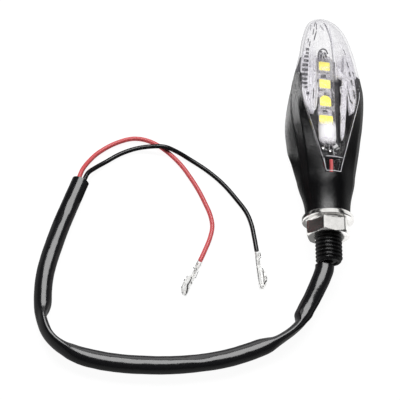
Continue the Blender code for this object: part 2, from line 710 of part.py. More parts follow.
def smooth_points(route, spacing):
    """Evenly spaced points on a smooth curve through a route."""
    dense = []
    for i in range(len(route) - 1):
        before, a = route[max(i - 1, 0)], route[i]
        b, after = route[i + 1], route[min(i + 2, len(route) - 1)]
        for k in range(16):
            t = k / 16
            h = (2 * t**3 - 3 * t**2 + 1, t**3 - 2 * t**2 + t, -2 * t**3 + 3 * t**2, t**3 - t**2)
            dense.append(h[0] * a + h[1] * (b - before) * 0.5 + h[2] * b + h[3] * (after - a) * 0.5)
    dense.append(route[-1].copy())
    lengths = [0.0]
    for a, b in zip(dense, dense[1:]):
        lengths.append(lengths[-1] + (b - a).length)
    count = max(2, round(lengths[-1] / spacing))
    points = []
    k = 0
    for i in range(count + 1):
        goal = lengths[-1] * i / count
        while k < len(lengths) - 2 and lengths[k + 1] < goal:
            k += 1
        share = (goal - lengths[k]) / max(lengths[k + 1] - lengths[k], 1e-12)
        points.append(dense[k].lerp(dense[k + 1], min(max(share, 0.0), 1.0)))
    return points


def make_tube(name, route, radius, mat, resolution, spacing):
    """A plain round cord along a route of placed points. The radius and the spacing are in millimetres."""
    curve = bpy.data.curves.new(name, "CURVE")
    curve.dimensions = "3D"
    curve.bevel_depth = radius * MM
    curve.bevel_resolution = resolution
    curve.use_fill_caps = True
    points = smooth_points(route, spacing * MM)
    spline = curve.splines.new("POLY")
    spline.points.add(len(points) - 1)
    for point, position in zip(spline.points, points):
        point.co = (*position, 1.0)
    return link(name, curve, mat)


def make_leads(mats):
    """The two leads from under the board's end, side by side through the stem's bore to its cable end."""
    leads = (("lead_red", RED_LEAD, mats["red"]), ("lead_black", BLACK_LEAD, mats["black_wire"]))
    for name, route, mat in leads:
        make_tube(name, [place(*p) for p in route], LEAD_RADIUS, mat, 1, LEAD_SPACING)


def joined(name, blocks, mat):
    """Union of boxes, given as bmeshes in a local frame, into one body."""
    obj = finish(name, blocks[0], mat)
    for i, bm in enumerate(blocks[1:]):
        other = cutter("%s_%d" % (name, i), bm)
        boolean(obj, other, "UNION")
        bpy.data.objects.remove(other, do_unlink=True)
    return obj


def local_block(y0, y1, x0, x1, z0, z1):
    """A box in a terminal's own frame, which runs along +Y from the wire's end."""
    outline = [Vector((x0, y0, z0)), Vector((x1, y0, z0)), Vector((x1, y0, z1)), Vector((x0, y0, z1))]
    outline = [p * MM for p in outline]
    return extruded(outline, Vector((0.0, (y1 - y0) * MM, 0.0)))


def crimp_barrel(y0, y1, radius, height):
    """An open barrel: a bent sheet that wraps a wire from below, with its wings close together above."""
    outer, inner = [], []
    for i in range(BARREL_STEPS + 1):
        wrap = (360.0 - 2.0 * BARREL_HALF_OPENING) * i / BARREL_STEPS
        turn = math.radians(-90.0 + BARREL_HALF_OPENING + wrap) - math.pi
        outer.append((radius * math.cos(turn), height + radius * math.sin(turn)))
        small = radius - TERMINAL_SHEET
        inner.append((small * math.cos(turn), height + small * math.sin(turn)))
    outline = [Vector((x * MM, y0 * MM, z * MM)) for x, z in outer + inner[::-1]]
    return extruded(outline, Vector((0.0, (y1 - y0) * MM, 0.0)))


def make_terminal(name, ends, mat):
    """A crimp receptacle: insulation wings, wire crimp, neck and a hollow box with an open front."""
    sheet = TERMINAL_SHEET
    half = TERMINAL_WIDTH / 2
    floor_half, lid_half = half - TERMINAL_FLOOR_IN, half - TERMINAL_LID_IN
    start, end, top = TERMINAL_BOX_START, TERMINAL_LENGTH, TERMINAL_BOX_TOP
    blocks = [
        local_block(0.0, end, -floor_half, floor_half, 0.0, sheet),
        local_block(start, end, -half, -half + sheet, 0.0, top),
        local_block(start, end, half - sheet, half, 0.0, top),
        local_block(start, end, -lid_half, lid_half, top - sheet, top),
        local_block(start, end, -lid_half, lid_half, 0.0, sheet),
    ]
    blocks += [crimp_barrel(low, high, radius, radius) for low, high, radius in TERMINAL_BARRELS]
    obj = joined(name, blocks, mat)
    tidy(obj)
    (x0, y0), (x1, y1) = ends
    obj.location = on_table(x0, y0, TERMINAL_FLOOR)
    obj.rotation_euler = (0.0, 0.0, math.atan2(y1 - y0, x1 - x0) - math.pi / 2)


def make_cable(mats):
    """The sleeve, the two free wires and a terminal on each."""
    route = [on_table(*p) for p in SLEEVE_ROUTE]
    make_tube("cable_sleeve", route, SLEEVE_RADIUS, mats["sleeve"], 2, SLEEVE_SPACING)
    route = [on_table(*p) for p in RED_ROUTE]
    make_tube("wire_red", route, WIRE_RADIUS, mats["red"], 1, WIRE_SPACING)
    route = [on_table(*p) for p in BLACK_ROUTE]
    make_tube("wire_black", route, WIRE_RADIUS, mats["black_wire"], 1, WIRE_SPACING)
    make_terminal("terminal_red", RED_TERMINAL, mats["tin"])
    make_terminal("terminal_black", BLACK_TERMINAL, mats["tin"])


def main():
    clear_scene()
    mats = {
        "black": material("black_plastic", (0.018, 0.018, 0.019), 0.42),
        "clear": material("clear_plastic", (0.95, 0.96, 0.97), 0.03, transmission=1.0),
        "prism": material("prism_plastic", (0.86, 0.86, 0.88), 0.08, transmission=0.7),
        "board": material("board_black", (0.03, 0.03, 0.035), 0.45),
        "led": material("led_yellow", (0.95, 0.72, 0.08), 0.35),
        "chip": material("chip_dark", (0.06, 0.06, 0.07), 0.4),
        "solder": material("solder", (0.75, 0.75, 0.76), 0.25, 1.0),
        "stem": material("stem_black", (0.02, 0.02, 0.021), 0.35),
        "zinc": material("zinc", (0.82, 0.82, 0.80), 0.18, 1.0),
        "sleeve": material("sleeve_black", (0.012, 0.012, 0.013), 0.22),
        "red": material("wire_red", (0.75, 0.05, 0.06), 0.35),
        "black_wire": material("wire_black", (0.02, 0.02, 0.02), 0.35),
        "tin": material("tin", (0.80, 0.80, 0.79), 0.22, 1.0),
    }
    make_body(mats["black"], mats["clear"])
    make_stem(mats["stem"])
    make_nut(mats["zinc"])
    make_board(mats)
    make_optic_bar(mats["clear"])
    make_prism_strip("prism_strip_left", -1.0, mats["prism"])
    make_prism_strip("prism_strip_right", 1.0, mats["prism"])
    make_leads(mats)
    make_cable(mats)


main()
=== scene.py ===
"""The visual model of an LED turn signal indicator with a hollow M10 stem, lying on its back, and its cable.

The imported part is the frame. The lamp's axis runs along Y and the lens faces up. Lengths below are in
millimetres until MM turns them into metres. A station is a distance along the axis from the cable end of the
stem, and a height is measured from the axis.
"""

import json
import math
import random

import bmesh
import bpy
from mathutils import Matrix, Vector, noise
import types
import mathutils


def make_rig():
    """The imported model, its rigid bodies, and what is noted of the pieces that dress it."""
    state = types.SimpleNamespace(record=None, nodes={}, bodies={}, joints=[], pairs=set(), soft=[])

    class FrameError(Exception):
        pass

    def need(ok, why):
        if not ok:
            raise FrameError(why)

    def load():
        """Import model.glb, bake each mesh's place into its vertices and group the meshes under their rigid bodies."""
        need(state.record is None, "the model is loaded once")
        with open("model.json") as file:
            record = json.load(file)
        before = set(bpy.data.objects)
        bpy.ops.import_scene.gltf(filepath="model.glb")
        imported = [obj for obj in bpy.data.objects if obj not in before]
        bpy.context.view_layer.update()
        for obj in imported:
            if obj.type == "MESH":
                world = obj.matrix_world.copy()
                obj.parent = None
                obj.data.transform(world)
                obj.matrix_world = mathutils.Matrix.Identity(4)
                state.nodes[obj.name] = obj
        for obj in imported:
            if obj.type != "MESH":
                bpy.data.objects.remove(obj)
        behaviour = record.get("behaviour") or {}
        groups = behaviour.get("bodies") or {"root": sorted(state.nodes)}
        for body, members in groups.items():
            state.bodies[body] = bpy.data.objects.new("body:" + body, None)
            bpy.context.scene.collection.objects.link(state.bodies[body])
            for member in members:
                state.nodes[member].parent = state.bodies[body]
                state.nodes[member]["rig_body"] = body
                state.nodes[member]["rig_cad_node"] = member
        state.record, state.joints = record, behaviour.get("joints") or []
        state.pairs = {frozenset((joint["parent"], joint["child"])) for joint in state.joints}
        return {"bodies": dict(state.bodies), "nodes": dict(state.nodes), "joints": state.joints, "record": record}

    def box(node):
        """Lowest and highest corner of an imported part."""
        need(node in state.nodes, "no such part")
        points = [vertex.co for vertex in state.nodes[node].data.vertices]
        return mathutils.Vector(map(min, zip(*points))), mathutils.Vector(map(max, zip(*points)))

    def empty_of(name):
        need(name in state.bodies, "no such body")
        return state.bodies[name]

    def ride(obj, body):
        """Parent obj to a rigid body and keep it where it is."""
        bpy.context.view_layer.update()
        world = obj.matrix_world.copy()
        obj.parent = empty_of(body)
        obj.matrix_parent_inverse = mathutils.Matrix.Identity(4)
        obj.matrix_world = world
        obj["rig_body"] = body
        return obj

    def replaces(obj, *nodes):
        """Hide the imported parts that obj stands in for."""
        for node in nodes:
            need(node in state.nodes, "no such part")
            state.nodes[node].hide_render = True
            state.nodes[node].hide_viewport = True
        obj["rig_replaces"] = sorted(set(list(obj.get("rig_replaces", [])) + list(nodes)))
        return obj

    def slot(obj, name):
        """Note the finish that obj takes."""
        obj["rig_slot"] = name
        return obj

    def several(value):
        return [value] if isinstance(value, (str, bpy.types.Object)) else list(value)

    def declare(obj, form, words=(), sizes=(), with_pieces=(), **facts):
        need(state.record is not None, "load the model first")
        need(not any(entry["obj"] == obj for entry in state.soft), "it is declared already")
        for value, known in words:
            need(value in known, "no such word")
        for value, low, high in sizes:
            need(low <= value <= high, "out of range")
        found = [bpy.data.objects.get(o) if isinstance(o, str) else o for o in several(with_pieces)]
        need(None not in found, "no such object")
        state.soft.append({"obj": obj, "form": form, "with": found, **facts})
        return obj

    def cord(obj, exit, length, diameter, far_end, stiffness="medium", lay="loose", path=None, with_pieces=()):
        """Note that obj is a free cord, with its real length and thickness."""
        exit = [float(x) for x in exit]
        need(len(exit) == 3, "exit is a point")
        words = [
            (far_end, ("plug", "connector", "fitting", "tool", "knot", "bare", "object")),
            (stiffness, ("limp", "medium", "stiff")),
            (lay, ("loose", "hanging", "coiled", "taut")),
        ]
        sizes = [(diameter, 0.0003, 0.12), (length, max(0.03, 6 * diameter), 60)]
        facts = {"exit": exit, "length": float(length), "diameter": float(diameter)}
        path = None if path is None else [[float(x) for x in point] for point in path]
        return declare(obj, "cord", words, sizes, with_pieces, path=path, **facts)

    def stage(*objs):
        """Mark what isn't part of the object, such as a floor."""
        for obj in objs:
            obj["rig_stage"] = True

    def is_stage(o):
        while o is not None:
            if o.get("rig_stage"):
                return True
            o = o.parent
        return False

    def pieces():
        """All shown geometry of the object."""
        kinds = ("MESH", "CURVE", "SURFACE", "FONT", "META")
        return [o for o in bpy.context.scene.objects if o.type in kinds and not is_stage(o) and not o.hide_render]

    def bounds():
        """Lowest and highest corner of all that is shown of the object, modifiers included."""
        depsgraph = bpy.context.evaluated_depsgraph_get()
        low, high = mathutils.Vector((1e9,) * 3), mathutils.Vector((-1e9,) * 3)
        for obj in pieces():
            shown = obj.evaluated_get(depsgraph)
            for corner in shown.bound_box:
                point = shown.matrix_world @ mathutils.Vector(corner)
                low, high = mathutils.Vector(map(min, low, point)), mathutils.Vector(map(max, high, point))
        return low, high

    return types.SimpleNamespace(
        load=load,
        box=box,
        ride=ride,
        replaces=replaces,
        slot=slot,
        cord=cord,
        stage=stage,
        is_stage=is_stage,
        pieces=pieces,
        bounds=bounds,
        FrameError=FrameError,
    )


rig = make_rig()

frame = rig.load()
cad_low, cad_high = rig.bounds()

MM = 0.001
LAMP = "lamp"
NUT = "nut"
stem_low, stem_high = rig.box("threaded_stem")
END_Y = stem_low.y
AXIS_Z = (stem_low.z + stem_high.z) / 2
LENGTH = (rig.box("lens")[1].y - END_Y) / MM

# ---------------------------------------------------------------- mesh helpers


def place(x, station, height):
    """A point of the lamp, in metres."""
    return Vector((x * MM, END_Y + station * MM, AXIS_Z + height * MM))


# Which lamps light a piece: each of these groups has its own
GROUPS = {
    name: bpy.data.collections.new("lit_as_" + name)
    for name in ("shell", "cable", "wire", "metal", "clear")
}


def add_object(name, data, mats=(), group=None):
    obj = bpy.data.objects.new(name, data)
    bpy.context.scene.collection.objects.link(obj)
    for mat in mats:
        data.materials.append(mat)
    if group:
        GROUPS[group].objects.link(obj)
    return obj


def from_lists(name, verts, faces, mats=(), sharp=40.0, group="shell"):
    """A smooth-shaded mesh object with edges over the given angle left sharp."""
    mesh = bpy.data.meshes.new(name)
    mesh.from_pydata([tuple(v) for v in verts], [], faces)
    mesh.validate()
    bm = bmesh.new()
    bm.from_mesh(mesh)
    bmesh.ops.recalc_face_normals(bm, faces=bm.faces)
    bm.to_mesh(mesh)
    bm.free()
    mesh.shade_smooth()
    mesh.set_sharp_from_angle(angle=math.radians(sharp))
    return add_object(name, mesh, mats, group)


def flat_facets(obj):
    """Keeps large faces flat in shading and lets only the narrow ones turn the corner."""
    mod = obj.modifiers.new("facets", "WEIGHTED_NORMAL")
    mod.weight = 100
    mod.keep_sharp = True


def bevel(obj, width, angle):
    """Rounds the edges over the given angle in two steps."""
    mod = obj.modifiers.new("edges", "BEVEL")
    mod.width = width * MM
    mod.segments = 2
    mod.limit_method = "ANGLE"
    mod.angle_limit = math.radians(angle)
    mod.harden_normals = False
    return obj


def loft_lists(rings, caps=True):
    """Vertices and faces through closed rings of equal length."""
    verts = [p for ring in rings for p in ring]
    count = len(rings[0])
    faces = []
    for r in range(len(rings) - 1):
        for i in range(count):
            j = (i + 1) % count
            faces.append((r * count + i, r * count + j, (r + 1) * count + j, (r + 1) * count + i))
    if caps:
        faces.append(tuple(range(count)))
        faces.append(tuple((len(rings) - 1) * count + i for i in range(count)))
    return verts, faces


def merged(parts):
    """Several (verts, faces) lists as one."""
    verts, faces = [], []
    for v, f in parts:
        base = len(verts)
        verts += v
        faces += [tuple(i + base for i in face) for face in f]
    return verts, faces


def circle(station, radius, count):
    """A ring of points round the lamp's axis."""
    angles = (2.0 * math.pi * i / count for i in range(count))
    return [place(radius * math.cos(a), station, radius * math.sin(a)) for a in angles]


def turned_lists(profile, count, closed=False):
    """A surface turned round the axis from (station, radius) pairs."""
    rings = [circle(station, radius, count) for station, radius in profile]
    return loft_lists(rings + [rings[0]], caps=False) if closed else loft_lists(rings)


def smoothstep(t):
    t = min(max(t, 0.0), 1.0)
    return t * t * (3.0 - 2.0 * t)


def lerp(a, b, t):
    return a + (b - a) * t


def table_value(rows, at):
    """Linear reading of a table of (position, value, ...) rows, as a list."""
    if at <= rows[0][0]:
        return list(rows[0][1:])
    for a, b in zip(rows, rows[1:]):
        if at <= b[0]:
            t = (at - a[0]) / (b[0] - a[0])
            return [lerp(p, q, t) for p, q in zip(a[1:], b[1:])]
    return list(rows[-1][1:])


def hermite(t):
    """Weights of a start, its slope, an end and its slope, at t between the two."""
    return 2 * t**3 - 3 * t**2 + 1, t**3 - 2 * t**2 + t, -2 * t**3 + 3 * t**2, t**3 - t**2


def dense_curve(points, steps):
    """A smooth curve through the points, with a number of steps to each stretch."""
    dense, last = [], len(points) - 1
    for i in range(last):
        before, a, b, after = points[max(i - 1, 0)], points[i], points[i + 1], points[min(i + 2, last)]
        for n in range(steps):
            h = hermite(n / steps)
            dense.append(h[0] * a + h[1] * (b - before) * 0.5 + h[2] * b + h[3] * (after - a) * 0.5)
    return dense + [points[-1]]


def smooth_value(rows, at):
    """Hermite reading of a table of (position, value, ...) rows, as a list."""
    if at <= rows[0][0]:
        return list(rows[0][1:])
    if at >= rows[-1][0]:
        return list(rows[-1][1:])
    k = min(max(i for i, row in enumerate(rows) if row[0] <= at), len(rows) - 2)
    before, a, b, after = rows[max(k - 1, 0)], rows[k], rows[k + 1], rows[min(k + 2, len(rows) - 1)]
    span = b[0] - a[0]
    h = hermite((at - a[0]) / span)
    values = []
    for col in range(1, len(a)):
        slope_a = (b[col] - before[col]) / (b[0] - before[0]) * span
        slope_b = (after[col] - a[col]) / (after[0] - a[0]) * span
        values.append(h[0] * a[col] + h[1] * slope_a + h[2] * b[col] + h[3] * slope_b)
    return values


# ---------------------------------------------------------------- material helpers


class Look:
    """A material with a Principled shader and short ways to add the nodes that drive it."""

    def __init__(self, name, **values):
        self.mat = bpy.data.materials.new(name)
        self.mat.use_nodes = True
        self.nt = self.mat.node_tree
        self.shader = self.nt.nodes["Principled BSDF"]
        for key, value in values.items():
            self.set(key.replace("_", " "), value)

    def set(self, socket, value):
        if isinstance(value, (tuple, list)) and len(value) == 3:
            value = (*value, 1.0)
        self.shader.inputs[socket].default_value = value

    def link(self, source, socket):
        self.nt.links.new(source, self.shader.inputs[socket])

    def node(self, kind, **values):
        n = self.nt.nodes.new(kind)
        for key, value in values.items():
            setattr(n, key, value)
        return n

    def coords(self, stretch=(1.0, 1.0, 1.0)):
        """Object coordinates in millimetres."""
        source = self.node("ShaderNodeTexCoord").outputs["Object"]
        mapping = self.node("ShaderNodeMapping")
        mapping.inputs["Scale"].default_value = [s / MM for s in stretch]
        self.nt.links.new(source, mapping.inputs["Vector"])
        return mapping.outputs["Vector"]

    def noise(self, vector, scale, detail=2.0, rough=0.5, distortion=0.0):
        n = self.node("ShaderNodeTexNoise")
        n.inputs["Scale"].default_value = scale
        n.inputs["Detail"].default_value = detail
        n.inputs["Roughness"].default_value = rough
        n.inputs["Distortion"].default_value = distortion
        self.nt.links.new(vector, n.inputs["Vector"])
        return n.outputs["Fac"]

    def cell_edges(self, vector):
        """Distance to the edges of cells that are one unit wide."""
        n = self.node("ShaderNodeTexVoronoi", feature="DISTANCE_TO_EDGE")
        n.inputs["Scale"].default_value = 1.0
        self.nt.links.new(vector, n.inputs["Vector"])
        return n.outputs["Distance"]

    def ramp(self, source, stops):
        n = self.node("ShaderNodeValToRGB")
        elements = n.color_ramp.elements
        while len(elements) < len(stops):
            elements.new(0.5)
        for element, (position, colour) in zip(elements, stops):
            if not isinstance(colour, (tuple, list)):
                colour = (colour, colour, colour)
            element.position = position
            element.color = (*colour, 1.0)
        self.nt.links.new(source, n.inputs["Fac"])
        return n.outputs["Color"]

    def math(self, operation, a, b=0.0, clamp=False):
        n = self.node("ShaderNodeMath", operation=operation, use_clamp=clamp)
        for socket, value in zip(n.inputs, (a, b)):
            if isinstance(value, (int, float)):
                socket.default_value = value
            else:
                self.nt.links.new(value, socket)
        return n.outputs[0]

    def mix(self, factor, a, b):
        """A colour mix; a and b are colours or sockets."""
        n = self.node("ShaderNodeMix", data_type="RGBA")
        for socket, value in ((n.inputs[0], factor), (n.inputs[6], a), (n.inputs[7], b)):
            if isinstance(value, (tuple, list)):
                socket.default_value = (*value, 1.0)
            elif isinstance(value, (int, float)):
                socket.default_value = value
            else:
                self.nt.links.new(value, socket)
        return n.outputs[2]

    def bump(self, height, strength, distance, normal=None):
        n = self.node("ShaderNodeBump")
        n.inputs["Strength"].default_value = strength
        n.inputs["Distance"].default_value = distance * MM
        self.nt.links.new(height, n.inputs["Height"])
        if normal is not None:
            self.nt.links.new(normal, n.inputs["Normal"])
        return n.outputs["Normal"]

    def vary(self, socket, source, low, high):
        """Runs a socket from low to high over the middle of a texture's range."""
        self.link(self.ramp(source, [(0.3, low), (0.7, high)]), socket)

    def station(self):
        """The station of a shading point, in mm."""
        n = self.node("ShaderNodeSeparateXYZ")
        self.nt.links.new(self.coords(), n.inputs[0])
        return self.math("SUBTRACT", n.outputs[1], END_Y / MM)

    def over(self, station, low, high, to_low, to_high):
        """A value that runs from one number to another between two stations."""
        n = self.node("ShaderNodeMapRange")
        self.nt.links.new(station, n.inputs["Value"])
        for socket, number in zip(("From Min", "From Max", "To Min", "To Max"), (low, high, to_low, to_high)):
            n.inputs[socket].default_value = number
        return n.outputs["Result"]

    def outline(self, power):
        """One where the surface is seen edge on, and falling to none where it faces the viewer."""
        facing = self.node("ShaderNodeLayerWeight").outputs["Facing"]
        return self.math("POWER", facing, power)


def shell_plastic():
    """Moulded black plastic with a fine spark-eroded grain."""
    k = Look("shell_plastic_satin")
    mm = k.coords()
    grain = k.noise(mm, 1.8, 3.0, 0.7)
    speckle = k.noise(mm, 1.3, 2.0, 0.7)
    flow = k.noise(k.coords((0.12, 0.03, 0.12)), 1.0, 2.0)
    tone = k.ramp(speckle, [(0.35, (0.0022, 0.0022, 0.0025)), (0.72, (0.006, 0.006, 0.0068))])
    k.link(k.mix(k.math("MULTIPLY", flow, 0.35), tone, (0.0035, 0.0035, 0.004)), "Base Color")
    wear = k.math("ADD", k.math("MULTIPLY", speckle, 0.7), k.math("MULTIPLY", flow, 0.3))
    k.vary("Roughness", wear, 0.15, 0.26)
    k.link(k.bump(grain, 1.0, 0.11), "Normal")
    k.set("IOR", 1.5)
    k.set("Specular IOR Level", 0.42)
    return k.mat


def stem_plastic():
    """Black glass-filled nylon, smoother than the shell."""
    k = Look("stem_nylon")
    mm = k.coords()
    streak = k.noise(k.coords((1.0, 0.25, 1.0)), 1.4, 3.0, 0.6)
    fine = k.noise(mm, 3.2, 2.0)
    k.link(k.ramp(streak, [(0.3, (0.004, 0.004, 0.0045)), (0.75, (0.010, 0.010, 0.011))]), "Base Color")
    k.link(k.ramp(streak, [(0.3, 0.22), (0.75, 0.34)]), "Roughness")
    k.link(k.bump(fine, 0.2, 0.05), "Normal")
    k.set("IOR", 1.53)
    k.set("Specular IOR Level", 0.4)
    return k.mat


def zinc_plate():
    """Bright zinc plating with soft tool marks and faint stains."""
    k = Look("zinc_plate", Metallic=1.0)
    mm = k.coords()
    stain = k.noise(mm, 0.35, 3.0, 0.6, 0.4)
    marks = k.noise(k.coords((0.5, 6.0, 0.5)), 0.6, 2.0, 0.6)
    tone = k.ramp(stain, [(0.3, (0.70, 0.69, 0.67)), (0.55, (0.80, 0.79, 0.77)), (0.8, (0.86, 0.85, 0.83))])
    k.link(tone, "Base Color")
    wear = k.math("ADD", k.math("MULTIPLY", marks, 0.5), k.math("MULTIPLY", stain, 0.5))
    k.vary("Roughness", wear, 0.12, 0.24)
    k.link(k.bump(marks, 0.12, 0.03), "Normal")
    return k.mat


def sleeve_vinyl():
    """Glossy black vinyl tube with slight ripples."""
    k = Look("sleeve_vinyl")
    mm = k.coords()
    ripple = k.noise(mm, 0.28, 2.0, 0.5, 0.3)
    fine = k.noise(mm, 1.8, 2.0, 0.5)
    dust = k.noise(mm, 3.6, 2.0, 0.7)
    k.link(k.ramp(dust, [(0.35, (0.0035, 0.0035, 0.004)), (0.8, (0.008, 0.008, 0.009))]), "Base Color")
    k.link(k.ramp(fine, [(0.3, 0.14), (0.75, 0.22)]), "Roughness")
    k.link(k.bump(fine, 0.08, 0.03, k.bump(ripple, 0.25, 0.25)), "Normal")
    k.set("IOR", 1.5)
    return k.mat


def wire_vinyl(name, dark, light, rough):
    """Extruded wire insulation."""
    k = Look(name)
    mm = k.coords()
    cloud = k.noise(mm, 0.7, 3.0, 0.6)
    fine = k.noise(mm, 4.0, 2.0)
    k.link(k.ramp(cloud, [(0.3, dark), (0.75, light)]), "Base Color")
    k.link(k.ramp(cloud, [(0.3, rough), (0.75, rough + 0.1)]), "Roughness")
    k.link(k.bump(fine, 0.06, 0.02), "Normal")
    k.set("IOR", 1.5)
    return k.mat


def tin_plate():
    """Tin-plated brass strip, dull and bright in patches, with a painted glow that lifts it towards white."""
    k = Look("tin_plate", Metallic=0.5)
    stain = k.noise(k.coords(), 1.3, 3.0, 0.6)
    rolled = k.noise(k.coords((4.0, 4.0, 4.0)), 1.0, 2.0, 0.6)
    tone = k.ramp(stain, [(0.36, (0.42, 0.41, 0.40)), (0.44, (0.84, 0.84, 0.83)), (0.7, (0.95, 0.95, 0.94))])
    k.link(tone, "Base Color")
    k.vary("Roughness", rolled, 0.22, 0.38)
    # Painted glow: the plate gives off light in its own tone, though it is no lamp.
    k.link(tone, "Emission Color")
    k.set("Emission Strength", 0.28)
    k.link(k.bump(rolled, 0.35, 0.05), "Normal")
    return k.mat


def lens_look():
    """Thin clear polycarbonate: hardly seen over the board, pale lavender at the tip, darker outlines."""
    k = Look("lens_clear")
    flow = k.noise(k.coords((0.8, 0.10, 0.8)), 0.9, 3.0, 0.6, 0.4)
    fine = k.noise(k.coords(), 1.6, 2.0)
    station = k.station()
    k.link(k.ramp(flow, [(0.3, (0.56, 0.54, 0.60)), (0.7, (0.72, 0.70, 0.76))]), "Base Color")
    base = k.over(station, 50.0, 90.0, 0.008, 0.055)
    streak = k.ramp(flow, [(0.50, 0.0), (0.60, 1.0)])
    streak = k.math("MULTIPLY", streak, k.over(station, 66.0, 88.0, 0.0, 0.07))
    edge = k.math("MULTIPLY", k.outline(3.2), k.over(station, 50.0, 90.0, 0.12, 0.50))
    k.link(k.math("ADD", base, k.math("ADD", streak, edge), clamp=True), "Alpha")
    k.vary("Roughness", fine, 0.05, 0.1)
    k.link(k.bump(flow, 0.12, 0.05), "Normal")
    k.set("IOR", 1.49)
    return k.mat


# Stations of the LEDs
FIRST_LED = 58.5
LED_PITCH = 8.0


def bar_look():
    """The light bar: clear over the LEDs, frosted white at its lower end with a painted glow there, and paler where it
    is seen edge on.
    """
    k = Look("bar_clear")
    flow = k.noise(k.coords((1.0, 0.5, 1.0)), 0.8, 3.0, 0.6, 0.6)
    station = k.station()
    # The lower-end mask makes the bar opaque white there, and it also drives the painted glow below.
    lower = k.over(station, 54.0, 57.0, 0.9, 0.0)
    lower = k.math("MULTIPLY", lower, k.over(station, 47.6, 49.4, 0.0, 1.0))
    from_led = k.math("PINGPONG", k.math("ADD", station, -FIRST_LED), LED_PITCH / 2)
    between = k.over(from_led, 2.0, 2.5, 0.02, 1.0)
    lines = k.math("MULTIPLY", k.ramp(flow, [(0.50, 0.0), (0.58, 1.0)]), 0.45)
    lines = k.math("MULTIPLY", lines, between)
    edge = k.math("MULTIPLY", k.outline(2.4), 0.8)
    k.link(k.ramp(flow, [(0.3, (0.62, 0.58, 0.68)), (0.55, (0.92, 0.91, 0.94))]), "Base Color")
    k.link(k.math("ADD", k.math("ADD", lower, lines), k.math("ADD", edge, 0.03), clamp=True), "Alpha")
    # Painted glow at the lower end, though the bar is no lamp.
    k.set("Emission Color", (1.0, 0.99, 0.97))
    k.link(k.math("MULTIPLY", lower, 0.35), "Emission Strength")
    k.vary("Roughness", flow, 0.06, 0.12)
    k.link(k.bump(flow, 0.15, 0.06), "Normal")
    return k.mat


def glitter_look(name, dark, light, alpha):
    """Frosted prism ribs: pale, with painted dark scribbles and painted bright cell lines where they bend the light,
    and a painted glow.
    """
    k = Look(name)
    cells = k.cell_edges(k.coords((0.9, 0.45, 0.9)))
    scribble = k.noise(k.coords((1.1, 0.5, 1.1)), 1.0, 3.0, 0.65, 1.5)
    # Painted shade and painted highlights: the dark scribbles and the near-white cell edges stand for light bent by
    # the ribs.
    shade = tuple(c * 0.30 for c in light)
    tone = k.ramp(scribble, [
        (0.38, dark), (0.43, light), (0.49, light), (0.515, shade),
        (0.54, light), (0.60, light), (0.64, shade),
    ])
    lines = k.ramp(cells, [(0.02, 1.0), (0.07, 0.0)])
    k.link(k.mix(k.math("MULTIPLY", lines, 0.75), tone, (0.97, 0.97, 0.98)), "Base Color")
    fade = k.over(k.station(), 80.0, 89.0, 1.0, 0.10)
    cover = k.ramp(scribble, [(0.3, alpha), (0.7, min(alpha + 0.1, 1.0))])
    k.link(k.math("MULTIPLY", fade, cover), "Alpha")
    # Painted glow in the ribs' own tone, though they are no lamp.
    k.link(tone, "Emission Color")
    k.set("Emission Strength", 0.22)
    k.vary("Roughness", scribble, 0.1, 0.25)
    k.link(k.bump(scribble, 0.5, 0.15), "Normal")
    k.set("IOR", 1.49)
    return k.mat


def rib_look(name, dark, light, alpha, glow=0.0):
    """A narrow rib in the lens, coloured as a painted bright, grey or dark line where the lens bends the light; glow
    sets a painted glow.
    """
    k = Look(name)
    cloud = k.noise(k.coords((1.0, 0.6, 1.0)), 0.9, 2.0, 0.6)
    k.link(k.ramp(cloud, [(0.35, dark), (0.65, light)]), "Base Color")
    k.link(k.ramp(cloud, [(0.35, alpha * 0.7), (0.6, alpha)]), "Alpha")
    k.vary("Roughness", cloud, 0.08, 0.2)
    # Painted glow, though the rib is no lamp.
    k.set("Emission Color", light)
    k.set("Emission Strength", glow)
    return k.mat


def phosphor_look():
    """Yellow phosphor gel, mottled, and bright from a painted glow on top of the studio lamps."""
    k = Look("led_phosphor")
    cloud = k.noise(k.coords(), 0.8, 3.0, 0.6)
    tone = k.ramp(cloud, [(0.3, (0.90, 0.74, 0.06)), (0.55, (0.95, 0.84, 0.12)), (0.8, (0.98, 0.90, 0.30))])
    k.link(tone, "Base Color")
    k.vary("Roughness", cloud, 0.3, 0.45)
    # Painted glow: the gel gives off yellow light so that it looks brighter.
    k.link(k.ramp(cloud, [(0.3, (0.98, 0.80, 0.04)), (0.7, (1.0, 0.92, 0.28))]), "Emission Color")
    k.set("Emission Strength", 0.62)
    k.link(k.bump(cloud, 0.3, 0.05), "Normal")
    return k.mat


def board_look():
    """Black solder mask with faint copper paths under it and a few bright marks."""
    k = Look("board_mask")
    mm = k.coords()
    weave = k.noise(mm, 3.0, 2.0)
    paths = k.cell_edges(k.coords((0.35, 0.5, 0.35)))
    lines = k.ramp(paths, [(0.03, 1.0), (0.06, 0.0)])
    mask = k.mix(lines, (0.008, 0.008, 0.010), (0.030, 0.031, 0.034))
    # Between stations 76.5 and 78.5 the mask turns to pale grey.
    k.link(k.mix(k.over(k.station(), 76.5, 78.5, 0.0, 1.0), mask, (0.62, 0.62, 0.63)), "Base Color")
    k.vary("Roughness", weave, 0.3, 0.42)
    relief = k.math("ADD", k.math("MULTIPLY", lines, 0.7), k.math("MULTIPLY", weave, 0.2))
    k.link(k.bump(relief, 0.4, 0.05), "Normal")
    return k.mat


def plain_grain(name, dark, light, rough, scale=1.5, metallic=0.0):
    """A small moulded or plated part with fine variation."""
    k = Look(name, Metallic=metallic)
    mm = k.coords()
    cloud = k.noise(mm, scale, 3.0, 0.6)
    fine = k.noise(mm, scale * 3.0, 2.0)
    k.link(k.ramp(cloud, [(0.3, dark), (0.7, light)]), "Base Color")
    k.vary("Roughness", fine, rough, rough + 0.12)
    k.link(k.bump(fine, 0.15, 0.03), "Normal")
    return k.mat


# Light given off by the floor, and the part of it that shiny pieces see
FLOOR_GLOW = 0.95
FLOOR_SEEN = 0.2


